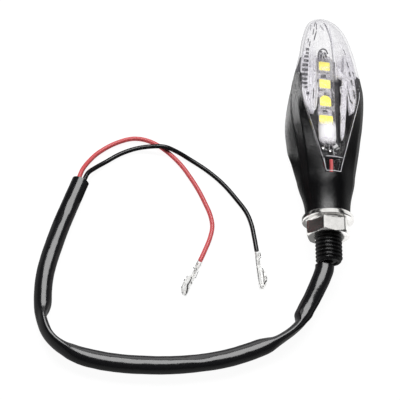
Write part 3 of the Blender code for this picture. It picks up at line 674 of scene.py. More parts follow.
def floor_look():
    """White paper lit from below. Shiny pieces see it much darker, as they see a room and not the paper."""
    k = Look("floor_paper", Roughness=0.9)
    mm = k.coords()
    fibre = k.noise(mm, 0.05, 3.0)
    k.link(k.ramp(fibre, [(0.3, (0.10, 0.10, 0.101)), (0.7, (0.115, 0.115, 0.116))]), "Base Color")
    k.set("Emission Color", (1.0, 1.0, 1.0))
    glossy = k.node("ShaderNodeLightPath").outputs["Is Glossy Ray"]
    dimmed = k.math("MULTIPLY", glossy, FLOOR_GLOW - FLOOR_SEEN)
    k.link(k.math("SUBTRACT", FLOOR_GLOW, dimmed), "Emission Strength")
    k.set("Specular IOR Level", 0.0)
    return k.mat


MATS = {
    "shell": shell_plastic(),
    "stem": stem_plastic(),
    "zinc": zinc_plate(),
    "sleeve": sleeve_vinyl(),
    "red": wire_vinyl("wire_red_vinyl", (0.88, 0.12, 0.13), (0.94, 0.16, 0.17), 0.28),
    "black": wire_vinyl("wire_black_vinyl", (0.006, 0.006, 0.007), (0.016, 0.016, 0.018), 0.22),
    "tin": tin_plate(),
    "lens": lens_look(),
    "bar": bar_look(),
    "prism": glitter_look("prism_frost", (0.14, 0.13, 0.16), (0.86, 0.84, 0.89), 0.88),
    "land": glitter_look("land_lavender", (0.05, 0.04, 0.07), (0.56, 0.52, 0.60), 1.0),
    # Lens ribs: painted highlight lines with a painted glow, painted half shade lines and painted shade lines.
    "rib_painted_highlight": rib_look("rib_painted_highlight", (0.72, 0.71, 0.75), (0.94, 0.93, 0.96), 0.9, 0.25),
    "rib_painted_half_shade": rib_look("rib_painted_half_shade", (0.30, 0.29, 0.33), (0.48, 0.47, 0.51), 0.55),
    "rib_painted_shade": rib_look("rib_painted_shade", (0.03, 0.03, 0.035), (0.10, 0.095, 0.11), 0.85),
    "board": board_look(),
    "phosphor": phosphor_look(),
    "package": plain_grain("led_package", (0.62, 0.60, 0.62), (0.74, 0.72, 0.72), 0.35, 2.0),
    "chip": plain_grain("chip_dark", (0.030, 0.028, 0.036), (0.075, 0.070, 0.085), 0.3, 2.0),
    # Dark terminal lines: painted shade in the folds and holes.
    "hollow": plain_grain("terminal_hollow", (0.030, 0.028, 0.030), (0.10, 0.095, 0.095), 0.5, 1.2),
    "chip_white": plain_grain("chip_white", (0.80, 0.80, 0.82), (0.92, 0.92, 0.93), 0.35, 2.0),
    "solder": plain_grain("solder_bright", (0.66, 0.66, 0.67), (0.86, 0.86, 0.87), 0.15, 1.2, 1.0),
}

# ---------------------------------------------------------------- camera, floor and light


CAMERA_SENSOR = 36.0
CAMERA_LENS = 113.64
CAMERA_AT = Vector((-0.12679, -0.22795, 0.4247))
CAMERA_RIGHT = Vector((0.9816, 0.0123, 0.1906))
CAMERA_UP = Vector((-0.0911, 0.9071, 0.4109))
CAMERA_BACK = Vector((-0.1678, -0.4207, 0.8915))


def placed_by(right, up, back, at):
    """The matrix of an object with the given axes and place."""
    return Matrix.Translation(at) @ Matrix((right, up, back)).transposed().to_4x4()


def make_camera():
    """The viewing angle: from above, from the cable's side, with a long lens."""
    data = bpy.data.cameras.new("camera")
    data.sensor_width = CAMERA_SENSOR
    data.lens = CAMERA_LENS
    data.clip_start = 0.01
    data.clip_end = 50.0
    obj = add_object("camera", data)
    obj.matrix_world = placed_by(CAMERA_RIGHT, CAMERA_UP, CAMERA_BACK, CAMERA_AT)
    bpy.context.scene.camera = obj


def area_light(name, centre, aim, width, depth, radiance, group, only_seen):
    """A rectangular lamp of even radiance for one group of pieces."""
    data = bpy.data.lights.new(name, "AREA")
    data.shape = "RECTANGLE"
    data.size = width
    data.size_y = depth
    data.energy = radiance * width * depth * math.pi
    obj = add_object(name, data)
    back = (Vector(centre) - Vector(aim)).normalized()
    side = Vector((1.0, 0.0, 0.0)) if abs(back.x) < 0.9 else Vector((0.0, 1.0, 0.0))
    up = back.cross(side).normalized()
    obj.matrix_world = placed_by(up.cross(back).normalized(), up, back, Vector(centre))
    obj.visible_camera = False
    obj.visible_diffuse = not only_seen
    obj.light_linking.receiver_collection = GROUPS[group]


# Lamps: name, middle, point aimed at, width, depth, radiance, group of pieces, seen by reflections only
LIGHTS = [
    ("key_shell", (-0.14, 0.36, 0.57), (0.0, 0.0, 0.0), 0.62, 0.30, 11.0, "shell", False),
    ("wash_shell", (-0.20, -0.02, 0.60), (0.0, 0.0, 0.0), 0.50, 0.34, 0.25, "shell", False),
    ("left_shell", (-0.045, 0.044, 0.009), (0.0, 0.044, 0.012), 0.062, 0.005, 20.0, "shell", True),
    ("rim_shell", (-0.0165, 0.022, 0.0006), (-0.0165, 0.022, 1.0), 0.003, 0.056, 1.6, "shell", True),
    ("key_cable", (-0.02, 0.175, 0.60), (-0.05, -0.08, 0.0), 0.70, 0.60, 8.5, "cable", False),
    ("back_cable", (-0.05, 0.90, 0.30), (-0.05, -0.08, 0.0), 1.40, 0.60, 1.6, "cable", False),
    ("key_wire", (-0.10, 0.25, 0.60), (-0.05, -0.02, 0.0), 0.40, 0.30, 9.0, "wire", False),
    ("top_metal", (-0.06, 0.26, 0.50), (0.0, -0.03, 0.0), 0.80, 0.44, 1.05, "metal", False),
    ("right_metal", (0.075, 0.0, 0.02), (0.0, -0.03, 0.010), 0.10, 0.06, 0.9, "metal", True),
    ("left_metal", (-0.08, -0.085, 0.03), (0.0, -0.04, 0.010), 0.08, 0.06, 1.0, "metal", True),
    ("front_metal", (0.0, -0.17, 0.17), (0.0, -0.03, 0.0), 0.30, 0.14, 1.1, "metal", True),
    ("floor_front_metal", (0.015, -0.0575, 0.0006), (0.015, -0.0575, 1.0), 0.030, 0.015, 0.9, "metal", True),
    ("floor_left_metal", (-0.030, -0.059, 0.0006), (-0.030, -0.059, 1.0), 0.040, 0.046, 1.0, "metal", True),
    ("floor_right_metal", (0.044, -0.016, 0.0006), (0.044, -0.016, 1.0), 0.072, 0.072, 0.85, "metal", True),
    ("top_clear", (-0.10, 0.20, 0.60), (0.0, 0.0, 0.0), 0.50, 0.40, 4.5, "clear", False),
    ("front_clear", (0.05, -0.25, 0.60), (0.0, 0.0, 0.0), 0.40, 0.30, 3.0, "clear", False),
]

# Black cards that only reflections see: lowest and highest x, lowest and highest y
CARD_LEVEL = 0.001
FLOOR_CARDS = {
    "card_floor": (-0.095, -0.0135, -0.034, -0.008),
    "card_side": (-0.044, -0.0195, -0.008, 0.090),
    "card_front": (-0.005, 0.050, -0.140, -0.066),
}
# One more stands upright further left
UPRIGHT_CARD = [(-0.110, -0.036, 0.0), (-0.110, 0.080, 0.0), (-0.110, 0.080, 0.040), (-0.110, -0.036, 0.040)]
FLOOR_REACH = 6.0


def flat_rectangle(x0, x1, y0, y1, level):
    return [(x0, y0, level), (x1, y0, level), (x1, y1, level), (x0, y1, level)]


def make_stage():
    level = cad_low.z - 0.0001
    corners = flat_rectangle(-FLOOR_REACH, FLOOR_REACH, -FLOOR_REACH, FLOOR_REACH, level)
    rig.stage(from_lists("floor", corners, [(0, 1, 2, 3)], [floor_look()]))
    card_mat = plain_grain("card_black", (0.004, 0.004, 0.004), (0.006, 0.006, 0.006), 0.9)
    cards = {name: flat_rectangle(*row, CARD_LEVEL) for name, row in FLOOR_CARDS.items()}
    cards["card_left"] = UPRIGHT_CARD
    for name, corners in cards.items():
        card = from_lists(name, corners, [(0, 1, 2, 3)], [card_mat])
        card.visible_camera = False
        card.visible_diffuse = False
        card.visible_shadow = False
        card.visible_transmission = False
        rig.stage(card)
    world = bpy.data.worlds.new("studio")
    bpy.context.scene.world = world
    world.use_nodes = True
    nt = world.node_tree
    background = nt.nodes["Background"]
    coords = nt.nodes.new("ShaderNodeTexCoord")
    split = nt.nodes.new("ShaderNodeSeparateXYZ")
    ramp = nt.nodes.new("ShaderNodeValToRGB")
    nt.links.new(coords.outputs["Generated"], split.inputs[0])
    nt.links.new(split.outputs[2], ramp.inputs["Fac"])
    nt.links.new(ramp.outputs["Color"], background.inputs["Color"])
    elements = ramp.color_ramp.elements
    elements[0].position, elements[0].color = 0.0, (0.28, 0.28, 0.28, 1.0)
    elements[1].position, elements[1].color = 0.35, (0.03, 0.03, 0.03, 1.0)
    background.inputs["Strength"].default_value = 1.0
    for row in LIGHTS:
        area_light(*row)
    bpy.context.scene.view_settings.view_transform = "Standard"
    bpy.context.scene.cycles.transparent_max_bounces = 32
    bpy.context.scene.cycles.max_bounces = 12


make_camera()
make_stage()

# ---------------------------------------------------------------- cable

SLEEVE_RADIUS = 3.2
WIRE_RADIUS = 0.85

SLEEVE_ROUTE = [
    (-1.3, -53.3, 8.2), (-1.5, -55.2, 8.15), (-2.7, -58.6, 7.7), (-4.2, -62.3, 6.8), (-5.7, -65.9, 5.7),
    (-7.2, -69.3, 4.8), (-8.7, -72.8, 4.3), (-10.7, -76.0, 4.0), (-14.4, -79.5, 3.9), (-18.6, -82.4, 3.5),
    (-21.8, -83.9, 3.35), (-29.1, -87.2, 3.3), (-36.6, -90.0, 3.3), (-44.2, -92.0, 3.3), (-52.0, -93.4, 3.3),
    (-60.0, -94.3, 3.3), (-68.0, -94.7, 3.3), (-74.7, -94.7, 3.3), (-81.5, -94.2, 3.3), (-88.2, -93.0, 3.3),
    (-93.5, -91.2, 3.5), (-97.0, -89.6, 3.8), (-99.6, -87.5, 4.0), (-101.4, -85.0, 4.0), (-102.5, -82.1, 3.8),
    (-103.1, -78.8, 3.5), (-103.4, -73.0, 3.3), (-103.3, -65.8, 3.3), (-102.1, -58.0, 3.3),
    (-99.0, -46.0, 3.3), (-96.4, -37.8, 3.3), (-92.4, -25.9, 3.3),
]
RED_ROUTE = [
    (-93.25, -25.2, 3.3), (-91.9, -20.8, 2.8), (-89.3, -16.2, 1.6), (-85.8, -12.0, 0.95), (-80.0, -7.7, 0.9),
    (-73.2, -4.9, 0.9), (-66.7, -5.4, 0.9), (-60.6, -8.6, 0.9), (-54.8, -13.8, 0.9), (-50.7, -19.2, 0.9),
    (-47.6, -24.1, 0.9), (-45.2, -28.8, 0.9), (-43.1, -33.6, 0.9), (-42.2, -38.4, 0.9), (-43.1, -43.3, 0.9),
    (-44.9, -48.3, 0.95), (-46.7, -52.7, 1.15),
]
BLACK_ROUTE = [
    (-91.25, -25.85, 3.3), (-89.9, -22.2, 2.9), (-87.2, -19.2, 1.8), (-83.4, -16.0, 0.95),
    (-78.0, -12.0, 0.9),
    (-72.3, -9.2, 1.1), (-66.6, -8.1, 2.1), (-61.4, -8.1, 3.05), (-56.6, -9.2, 2.2), (-51.2, -11.4, 1.05),
    (-44.0, -15.7, 0.9), (-38.0, -20.6, 0.9), (-32.6, -26.7, 0.9), (-29.1, -31.4, 0.9), (-27.2, -36.1, 0.9),
    (-26.2, -40.9, 0.9), (-25.5, -45.2, 1.0), (-25.3, -46.8, 1.15),
]

# Shape of the sleeve by distance from the stem, in mm: half width on its left, half width on its right,
# half height, shift of its middle up
SLEEVE_SHAPE = [
    (0.0, 3.55, 3.45, 3.2, 0.0), (6.0, 3.45, 3.35, 3.2, 0.0), (14.0, 3.1, 3.3, 3.3, 0.0),
    (18.5, 2.7, 3.5, 3.5, 0.0), (21.5, 2.1, 3.6, 3.8, 0.2), (22.8, 1.9, 3.1, 4.0, 0.3),
    (24.0, 1.75, 1.9, 4.1, 0.4),
    (26.0, 1.65, 1.75, 4.1, 0.4), (32.0, 1.65, 1.7, 4.1, 0.4), (35.5, 2.0, 2.1, 3.9, 0.3),
    (38.5, 2.9, 2.8, 3.4, 0.1), (42.0, 3.15, 3.2, 3.25, 0.0), (60.0, 3.2, 3.2, 3.2, 0.0),
    (66.0, 3.1, 3.2, 3.1, -0.05), (74.0, 3.2, 3.2, 3.2, 0.0), (104.0, 3.25, 3.25, 3.2, 0.0),
    (111.0, 3.0, 2.8, 3.5, 0.15), (115.0, 2.3, 2.1, 4.0, 0.4), (119.0, 2.0, 1.8, 4.2, 0.5),
    (124.0, 2.1, 1.6, 4.2, 0.5), (128.6, 2.5, 1.5, 3.9, 0.3), (130.6, 2.8, 2.6, 3.6, 0.1),
    (133.0, 3.0, 3.3, 3.3, 0.0), (137.0, 3.15, 3.2, 3.25, 0.0), (160.0, 3.25, 3.25, 3.2, 0.0),
    (184.0, 3.2, 3.2, 3.2, 0.0),
]
SLEEVE_WALL = 0.5
SLEEVE_LIP = 0.00008
SLEEVE_AROUND = 48
# Rings of the inner wall that are seen from an open end
SLEEVE_OPEN = 8


def smooth_line(route, spacing):
    """Evenly spaced points, in metres, on a smooth curve through a route in millimetres."""
    dense = dense_curve([Vector(p) * MM for p in route], 16)
    lengths = [0.0]
    for a, b in zip(dense, dense[1:]):
        lengths.append(lengths[-1] + (b - a).length)
    count = max(2, round(lengths[-1] / (spacing * MM)))
    points, k = [], 0
    for i in range(count + 1):
        goal = lengths[-1] * i / count
        while k < len(lengths) - 2 and lengths[k + 1] < goal:
            k += 1
        share = (goal - lengths[k]) / max(lengths[k + 1] - lengths[k], 1e-12)
        points.append(dense[k].lerp(dense[k + 1], min(max(share, 0.0), 1.0)))
    return points


def line_length(points):
    return sum((b - a).length for a, b in zip(points, points[1:]))


def dent(s, phi, centre, angle, length, spread, depth):
    """A smooth dent of the given depth round a place on the sleeve."""
    turn = (phi - math.radians(angle) + math.pi) % (2.0 * math.pi) - math.pi
    return depth * math.exp(-((s - centre) / length) ** 2 - (turn / math.radians(spread)) ** 2)


# Dents and creases: distance from the stem, angle round the sleeve (0 left, 90 up, 180 right), length,
# spread, depth
SLEEVE_DENTS = [
    (20.5, 20.0, 1.6, 26.0, -0.35), (24.0, 75.0, 2.2, 24.0, 0.5), (37.5, 150.0, 3.0, 26.0, 0.55),
    (66.0, 118.0, 5.0, 22.0, 0.28), (70.0, 100.0, 4.0, 18.0, -0.18), (112.0, 140.0, 4.0, 24.0, 0.4),
    (120.0, 150.0, 2.5, 22.0, 0.35), (128.0, 35.0, 2.5, 24.0, 0.45), (131.0, 160.0, 3.0, 26.0, 0.5),
    (150.0, 80.0, 5.0, 20.0, 0.12), (166.0, 70.0, 3.0, 16.0, 0.16), (171.0, 95.0, 2.5, 14.0, 0.14),
]


def sleeve_ring(point, along, s, inset):
    """A ring of the sleeve, s mm from the stem and inset mm under its outside."""
    left = Vector((0.0, 0.0, 1.0)).cross(along).normalized()
    up = along.cross(left).normalized()
    half_left, half_right, half_high, lift = smooth_value(SLEEVE_SHAPE, s)
    ring = []
    for i in range(SLEEVE_AROUND):
        phi = 2.0 * math.pi * i / SLEEVE_AROUND
        side = half_left if math.cos(phi) > 0 else half_right
        less = inset + sum(dent(s, phi, *row) for row in SLEEVE_DENTS)
        less -= 0.05 * noise.noise(Vector((s * 0.35, math.cos(phi) * 1.3, math.sin(phi) * 1.3)))
        x = max(side - less, 0.4) * math.cos(phi)
        z = max(half_high - less, 0.4) * math.sin(phi) + lift
        ring.append(point + (left * x + up * z) * MM)
    return ring


def sleeve_lip(outer, inner, point, before):
    """A ring that rounds an open end of the sleeve."""
    out = (point - before).normalized() * SLEEVE_LIP
    return [a.lerp(b, 0.5) + out for a, b in zip(outer, inner)]


def make_sleeve():
    points = smooth_line(SLEEVE_ROUTE, 0.8)
    rings, inner = [], []
    s = 0.0
    for i, point in enumerate(points):
        if i:
            s += (point - points[i - 1]).length / MM
        along = (points[min(i + 1, len(points) - 1)] - points[max(i - 1, 0)]).normalized()
        rings.append(sleeve_ring(point, along, s, 0.0))
        inner.append(sleeve_ring(point, along, s, SLEEVE_WALL))
    start_lip = sleeve_lip(rings[0], inner[0], points[0], points[1])
    end_lip = sleeve_lip(rings[-1], inner[-1], points[-1], points[-2])
    loop = inner[:SLEEVE_OPEN][::-1] + [start_lip] + rings + [end_lip] + inner[-SLEEVE_OPEN:][::-1]
    obj = from_lists("sleeve_tube", *loft_lists(loop), [MATS["sleeve"]], 50.0, "cable")
    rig.replaces(obj, "cable_sleeve")
    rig.slot(obj, "sleeve_pvc")
    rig.ride(obj, LAMP)
    return obj, points


def make_wire(name, node, route, mat, slot):
    points = smooth_line(route, 0.5)
    curve = bpy.data.curves.new(name, "CURVE")
    curve.dimensions = "3D"
    curve.bevel_depth = WIRE_RADIUS * MM
    curve.bevel_resolution = 5
    curve.use_fill_caps = True
    spline = curve.splines.new("POLY")
    spline.points.add(len(points) - 1)
    for target, point in zip(spline.points, points):
        target.co = (*point, 1.0)
    spline.use_smooth = True
    obj = add_object(name, curve, [mat], "wire")
    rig.replaces(obj, node)
    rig.slot(obj, slot)
    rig.ride(obj, LAMP)
    return obj, points


sleeve, sleeve_points = make_sleeve()
red_wire, red_points = make_wire("wire_red_insulation", "wire_red", RED_ROUTE, MATS["red"], "insulation_red")
black_wire, black_points = make_wire(
    "wire_black_insulation", "wire_black", BLACK_ROUTE, MATS["black"], "insulation_black",
)

# ---------------------------------------------------------------- lamp body

SHOULDER = 18.3
WALL = 1.6
GAP = 0.3
PARTING = 2.6
COVER_START = 31.0
WINDOW_START = 32.6
WINDOW_NARROW = 3.05
TIP_START = 75.5

# station, band x, band z, rear x, rear z, flat back x, flat back z, border x, border z, crown z
BODY_STATIONS = [
    (34.0, 10.5, 2.4, 11.0, -3.0, 5.0, -9.8, 3.3, 9.4, 9.9),
    (38.0, 11.1, 3.0, 11.6, -3.8, 5.6, -10.0, 4.3, 9.5, 10.3),
    (42.0, 11.7, 3.6, 12.4, -4.3, 6.0, -10.0, 5.4, 9.5, 10.8),
    (46.0, 12.3, 3.9, 13.7, -4.5, 6.4, -10.0, 6.5, 9.5, 11.3),
    (50.0, 12.9, 4.0, 14.2, -4.6, 6.6, -10.0, 7.6, 9.5, 11.8),
    (54.0, 13.6, 4.0, 14.6, -4.6, 6.6, -10.0, 8.7, 9.5, 12.3),
    (58.0, 14.1, 4.0, 14.6, -4.5, 6.6, -10.0, 9.8, 9.5, 12.7),
    (62.0, 14.5, 4.1, 14.3, -4.0, 6.6, -10.0, 10.9, 9.5, 13.0),
    (66.0, 14.6, 4.6, 13.8, -3.2, 6.4, -10.0, 11.7, 9.5, 13.2),
    (70.0, 14.4, 5.1, 13.2, -2.2, 6.2, -10.0, 11.8, 9.3, 13.2),
    (74.0, 13.6, 5.6, 12.4, -1.2, 5.8, -10.0, 11.6, 8.7, 12.9),
    (78.0, 12.7, 5.9, 11.5, -0.2, 5.4, -9.6, 11.4, 7.9, 12.4),
    (82.0, 11.8, 5.7, 10.6, 0.8, 4.8, -8.0, 11.1, 7.4, 11.7),
    (86.0, 10.9, 5.3, 9.6, 1.4, 4.2, -5.8, 10.4, 6.9, 10.8),
    (90.0, 10.2, 4.8, 9.1, 1.5, 3.8, -4.4, 9.5, 6.4, 9.7),
    (94.0, 9.2, 4.2, 8.3, 1.1, 3.4, -3.6, 8.4, 5.7, 8.3),
    (98.0, 7.9, 3.1, 7.1, 0.4, 2.8, -3.0, 7.0, 4.6, 6.6),
    (101.5, 6.3, 1.6, 5.8, -0.3, 2.0, -2.6, 5.3, 3.0, 4.6),
    (104.0, 4.5, 0.3, 4.1, -0.7, 1.2, -2.1, 3.5, 1.4, 2.5),
    (LENGTH, 2.3, -0.4, 2.0, -0.9, 0.5, -1.6, 1.6, 0.2, 0.7),
]
BAND_IN = 1.9
BAND_UP = 3.5
# Radius of the round neck
NECK_STATIONS = [
    (SHOULDER, 8.5), (21.0, 8.5), (24.0, 8.65), (27.0, 9.05), (30.0, 9.8), (34.0, 10.8), (42.0, 12.0),
]
FULL_SECTION_STATION = 42.0
ROUND_SECTION_STATION = 19.5
# Lower edge of the lens on the side: height from the axis, station
LENS_EDGE = [
    (-14.0, 88.6), (-3.0, 88.3), (-1.0, 87.6), (0.6, 84.8), (2.4, 80.8), (4.2, 77.6), (6.4, 76.2),
    (7.9, 75.5),
]


def part_way(a, b, t):
    """A point, with its neck angle, on the way from a to b."""
    return tuple(lerp(a[i], b[i], t) for i in range(3))


def rounded_corner(a, b, c, radius):
    """Three points, with their neck angles, that round the corner b between a and c."""
    def toward(q):
        return part_way(b, q, min(radius / max(math.hypot(q[0] - b[0], q[1] - b[1]), 1e-6), 0.35))

    first, last = toward(a), toward(c)
    middle = tuple(0.25 * first[i] + 0.5 * b[i] + 0.25 * last[i] for i in range(3))
    return [first, middle, last]


def half_section(station, inset, parting, lip):
    """(x, z, neck angle) of the right half of the body from the back round to the crown."""
    row = smooth_value(BODY_STATIONS, station)
    band_x, band_z, rear_x, rear_z, flat_x, flat_z, border_x, border_z, crown_z = row
    first_station = BODY_STATIONS[0][0]
    if station < first_station:
        border_x = lerp(WINDOW_NARROW, border_x, (station - WINDOW_START) / (first_station - WINDOW_START))
        border_x = max(border_x, WINDOW_NARROW)
    band_x, rear_x, flat_x = band_x - inset, rear_x - inset, max(flat_x - inset * 0.5, 0.2)
    border_x, border_z = max(border_x - inset * 0.7, 0.4), border_z - inset
    flat_z, crown_z = flat_z + inset, crown_z - inset
    points = [(flat_x * i / 4, flat_z, -90.0 + 22.0 * i / 4) for i in range(5)]
    for i in range(1, 13):
        turn = math.radians(90.0 * i / 12)
        points.append((
            flat_x + (rear_x - flat_x) * math.sin(turn), rear_z + (flat_z - rear_z) * math.cos(turn),
            -68.0 + 50.0 * i / 12,
        ))
    rear = points[-1]
    share = min(max((parting - rear_z) / max(band_z - rear_z, 0.1), 0.1), 0.9)
    split = (lerp(rear_x, band_x, share), lerp(rear_z, band_z, share), lerp(-18.0, 18.0, share))
    band = (band_x, band_z, 18.0)
    shoulder_x = max(band_x - BAND_IN, border_x + 0.15)
    shoulder_z = min(band_z + BAND_UP, 0.5 * (band_z + border_z) + 0.6)
    shoulder = (shoulder_x, shoulder_z, 30.0)
    reach = math.hypot(border_x - shoulder_x, border_z - shoulder_z)
    border = part_way((border_x, border_z, 50.0), shoulder, min(lip / max(reach, 0.3), 0.4))
    points += [part_way(rear, split, t) for t in (0.4, 0.75)] + [split]
    points += rounded_corner(split, band, shoulder, 0.45) + [part_way(band, shoulder, 0.5)]
    points += rounded_corner(band, shoulder, border, 0.5)
    points += [part_way(shoulder, border, t) for t in (0.4, 0.65, 0.9)] + [border]
    for i in range(1, 13):
        x = border_x * (1.0 - i / 12)
        rise = (crown_z - border_z) * (1.0 - (x / border_x) ** 2)
        points.append((x, border_z + rise, 50.0 + 40.0 * i / 12))
    return points


# Places of the parting line, the shoulder and the window's border in a half section, and its number of points
SPLIT_AT = 19
SHOULDER_AT = 26
BORDER_AT = 30
HALF_COUNT = 43
RING_COUNT = 2 * HALF_COUNT - 2
# Half rings that are worked out already
RINGS = {}


def half_ring(station, inset, parting, lip):
    """Right half of the body's ring at a station: the section blended with the round neck."""
    key = (round(station, 4), inset, parting, lip)
    if key in RINGS:
        return RINGS[key]
    half = half_section(station, inset, parting, lip)
    blend = smoothstep((station - ROUND_SECTION_STATION) / (FULL_SECTION_STATION - ROUND_SECTION_STATION))
    radius = smooth_value(NECK_STATIONS, station)[0] - inset
    points = []
    for x, z, angle in half:
        turn = math.radians(angle)
        points.append((lerp(radius * math.cos(turn), x, blend), lerp(radius * math.sin(turn), z, blend)))
    if 0.0 < blend < 1.0:
        top = points[SHOULDER_AT:]
        steps = BORDER_AT - SHOULDER_AT
        wanted = [lerp(top[0][0], half[BORDER_AT][0], i / steps) for i in range(steps)]
        wanted += [half[i][0] for i in range(BORDER_AT, HALF_COUNT)]
        share = smoothstep((station - COVER_START + 3.0) / 3.0)
        goals = [lerp(x, goal, share) for (x, z), goal in zip(top, wanted)]
        points[SHOULDER_AT:] = [(goal, height_at(top, goal)) for goal in goals]
    RINGS[key] = points
    return points


def height_at(line, x):
    """Height of a line of (x, z) points with falling x."""
    for (ax, az), (bx, bz) in zip(line, line[1:]):
        if x >= bx:
            return lerp(az, bz, min(max((ax - x) / max(ax - bx, 1e-9), 0.0), 1.0))
    return line[-1][1]


def section_point(k, station, inset=0.0, parting=PARTING, lip=0.0):
    """Point k of the ring at a station. Rings start at the middle of the back and go round by the right."""
    mirrored = k >= HALF_COUNT
    index = RING_COUNT - k if mirrored else k
    x, z = half_ring(station, inset, parting, lip)[index]
    if index in (0, HALF_COUNT - 1):
        x = 0.0
    tip = LENGTH - 1.2
    if station > tip:
        shrink = math.sqrt(max(1.0 - ((station - tip) / (LENGTH - tip)) ** 2, 0.0)) * 0.85 + 0.15
        x, z = x * shrink, -0.5 + (z + 0.5) * shrink
    return (-x if mirrored else x), z


def edge_station(height):
    """Station of the lens's lower edge at a height."""
    return table_value(LENS_EDGE, height)[0]


def column_end(k, shift, **options):
    """Station at which a ring column meets the slanted edge of the lens."""
    station = 84.0
    for _ in range(12):
        station = 0.5 * station + 0.5 * edge_station(section_point(k, station, **options)[1])
    return station + shift


def grid_body(name, rows, stations, cells, wall, mat, group="shell", **options):
    """A closed wall over the body's rings. stations(k, row) gives the station of point k, and cells(c, row)
    says which cells exist."""
    verts, faces = [], []
    index = {}

    def vertex(k, row, layer):
        key = (k, row, layer)
        if key not in index:
            station = stations(k, row)
            inset = wall if layer else 0.0
            if layer:
                station -= wall * smoothstep((station - 92.0) / (LENGTH - 92.0))
            x, z = section_point(k, station, inset, **options)
            index[key] = len(verts)
            verts.append(place(x, station, z))
        return index[key]

    edges = {}
    for row in range(rows):
        for k in range(RING_COUNT):
            if not cells(k, row):
                continue
            j = (k + 1) % RING_COUNT
            corners = [(k, row), (j, row), (j, row + 1), (k, row + 1)]
            faces.append(tuple(vertex(*p, 0) for p in corners))
            faces.append(tuple(vertex(*p, 1) for p in reversed(corners)))
            for a, b in zip(corners, corners[1:] + corners[:1]):
                if (b, a) in edges:
                    del edges[(b, a)]
                else:
                    edges[(a, b)] = True
    for a, b in edges:
        faces.append((vertex(*b, 0), vertex(*a, 0), vertex(*a, 1), vertex(*b, 1)))
    return from_lists(name, verts, faces, [MATS[mat]], 48.0, group)


def ramp_rows(start, end, count):
    """Evenly spaced stations."""
    return [lerp(start, end, i / count) for i in range(count + 1)]


LENS_WALL = 1.0
# Gap that is seen between the front shell and the rear cover at the neck
SEAM = 0.03
EDGE_BEVEL = 0.22
EDGE_ANGLE = 50.0
NECK_ROWS = ramp_rows(SHOULDER, COVER_START - GAP, 12)
FRONT_ROWS = NECK_ROWS + [WINDOW_START - 0.6, WINDOW_START - GAP]
SIDE_STEPS = 44
COVER_STEPS = 60
WINDOW_STEPS = 40
TIP_STEPS = 36
OPTIONS_SHELL = {"parting": PARTING + GAP, "lip": GAP}


def front_columns(c):
    """True for a cell on the front of the parting line."""
    return SPLIT_AT <= c < RING_COUNT - SPLIT_AT


def crown_cell(c):
    """True for a cell between the window's borders."""
    return BORDER_AT <= c < RING_COUNT - BORDER_AT


def make_front_shell():
    last = len(FRONT_ROWS) - 1
    ends = {k: column_end(k, -GAP, **OPTIONS_SHELL) for k in range(RING_COUNT)}

    def stations(k, row):
        if row <= last:
            return FRONT_ROWS[row]
        return lerp(FRONT_ROWS[last], ends[k], (row - last) / SIDE_STEPS)

    def cells(c, row):
        if row < len(NECK_ROWS) - 1:
            return True
        if row < last:
            return front_columns(c)
        return front_columns(c) and not crown_cell(c)

    obj = grid_body("shell_front", last + SIDE_STEPS, stations, cells, WALL, "shell", **OPTIONS_SHELL)
    flat_facets(bevel(obj, EDGE_BEVEL, EDGE_ANGLE))
    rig.replaces(obj, "front_shell")
    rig.slot(obj, "shell_plastic")
    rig.ride(obj, LAMP)
    disc = turned_lists([
        (SHOULDER - 0.02, 5.35), (SHOULDER - 0.02, 8.1), (SHOULDER + 0.2, 8.4), (SHOULDER + 1.9, 8.2),
        (SHOULDER + 1.9, 5.35),
    ], 64, closed=True)
    collar = from_lists("shell_shoulder", *disc, [MATS["shell"]])
    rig.slot(collar, "shell_plastic")
    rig.ride(collar, LAMP)


def make_rear_cover():
    ends = {k: column_end(k, -GAP) for k in range(RING_COUNT)}

    def stations(k, row):
        return lerp(COVER_START - GAP + SEAM, ends[k], row / COVER_STEPS)

    def cells(c, row):
        return not front_columns(c)

    obj = grid_body("shell_rear", COVER_STEPS, stations, cells, WALL, "shell")
    flat_facets(bevel(obj, EDGE_BEVEL, EDGE_ANGLE))
    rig.replaces(obj, "rear_cover")
    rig.slot(obj, "shell_plastic")
    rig.ride(obj, LAMP)


def make_lens():
    ends = {k: column_end(k, 0.0) for k in range(RING_COUNT)}

    # The window and the tip share the row at TIP_START, so that the crown is one surface.
    def stations(k, row):
        if row < WINDOW_STEPS:
            return lerp(WINDOW_START, TIP_START, row / WINDOW_STEPS)
        start = TIP_START if BORDER_AT <= k <= RING_COUNT - BORDER_AT else ends[k]
        t = (row - WINDOW_STEPS) / TIP_STEPS
        return lerp(start, LENGTH, 1.0 - (1.0 - t) ** 1.25)

    def cells(c, row):
        return crown_cell(c) if row < WINDOW_STEPS else True

    obj = grid_body("lens_shell", WINDOW_STEPS + TIP_STEPS, stations, cells, LENS_WALL, "lens", "clear")
    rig.replaces(obj, "lens")
    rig.slot(obj, "lens_clear")
    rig.ride(obj, LAMP)


make_front_shell()
make_rear_cover()
make_lens()

# ---------------------------------------------------------------- stem and nut

PITCH = 1.5
THREAD_TOP = 17.9
THREAD_RADIUS = 5.0
THREAD_DEPTH = 0.85
STEM_BORE = 2.9
STEM_NECK = 4.6
STEM_COLLAR = 6.2
STEM_AROUND = 72
ROWS_PER_PITCH = 12


def thread_profile(phase):
    """Depth of the groove at a phase of the pitch, with rounded crest and root."""
    ramp = 1.0 - abs(2.0 * phase - 1.0)
    return smoothstep((ramp - 0.1) / 0.72)


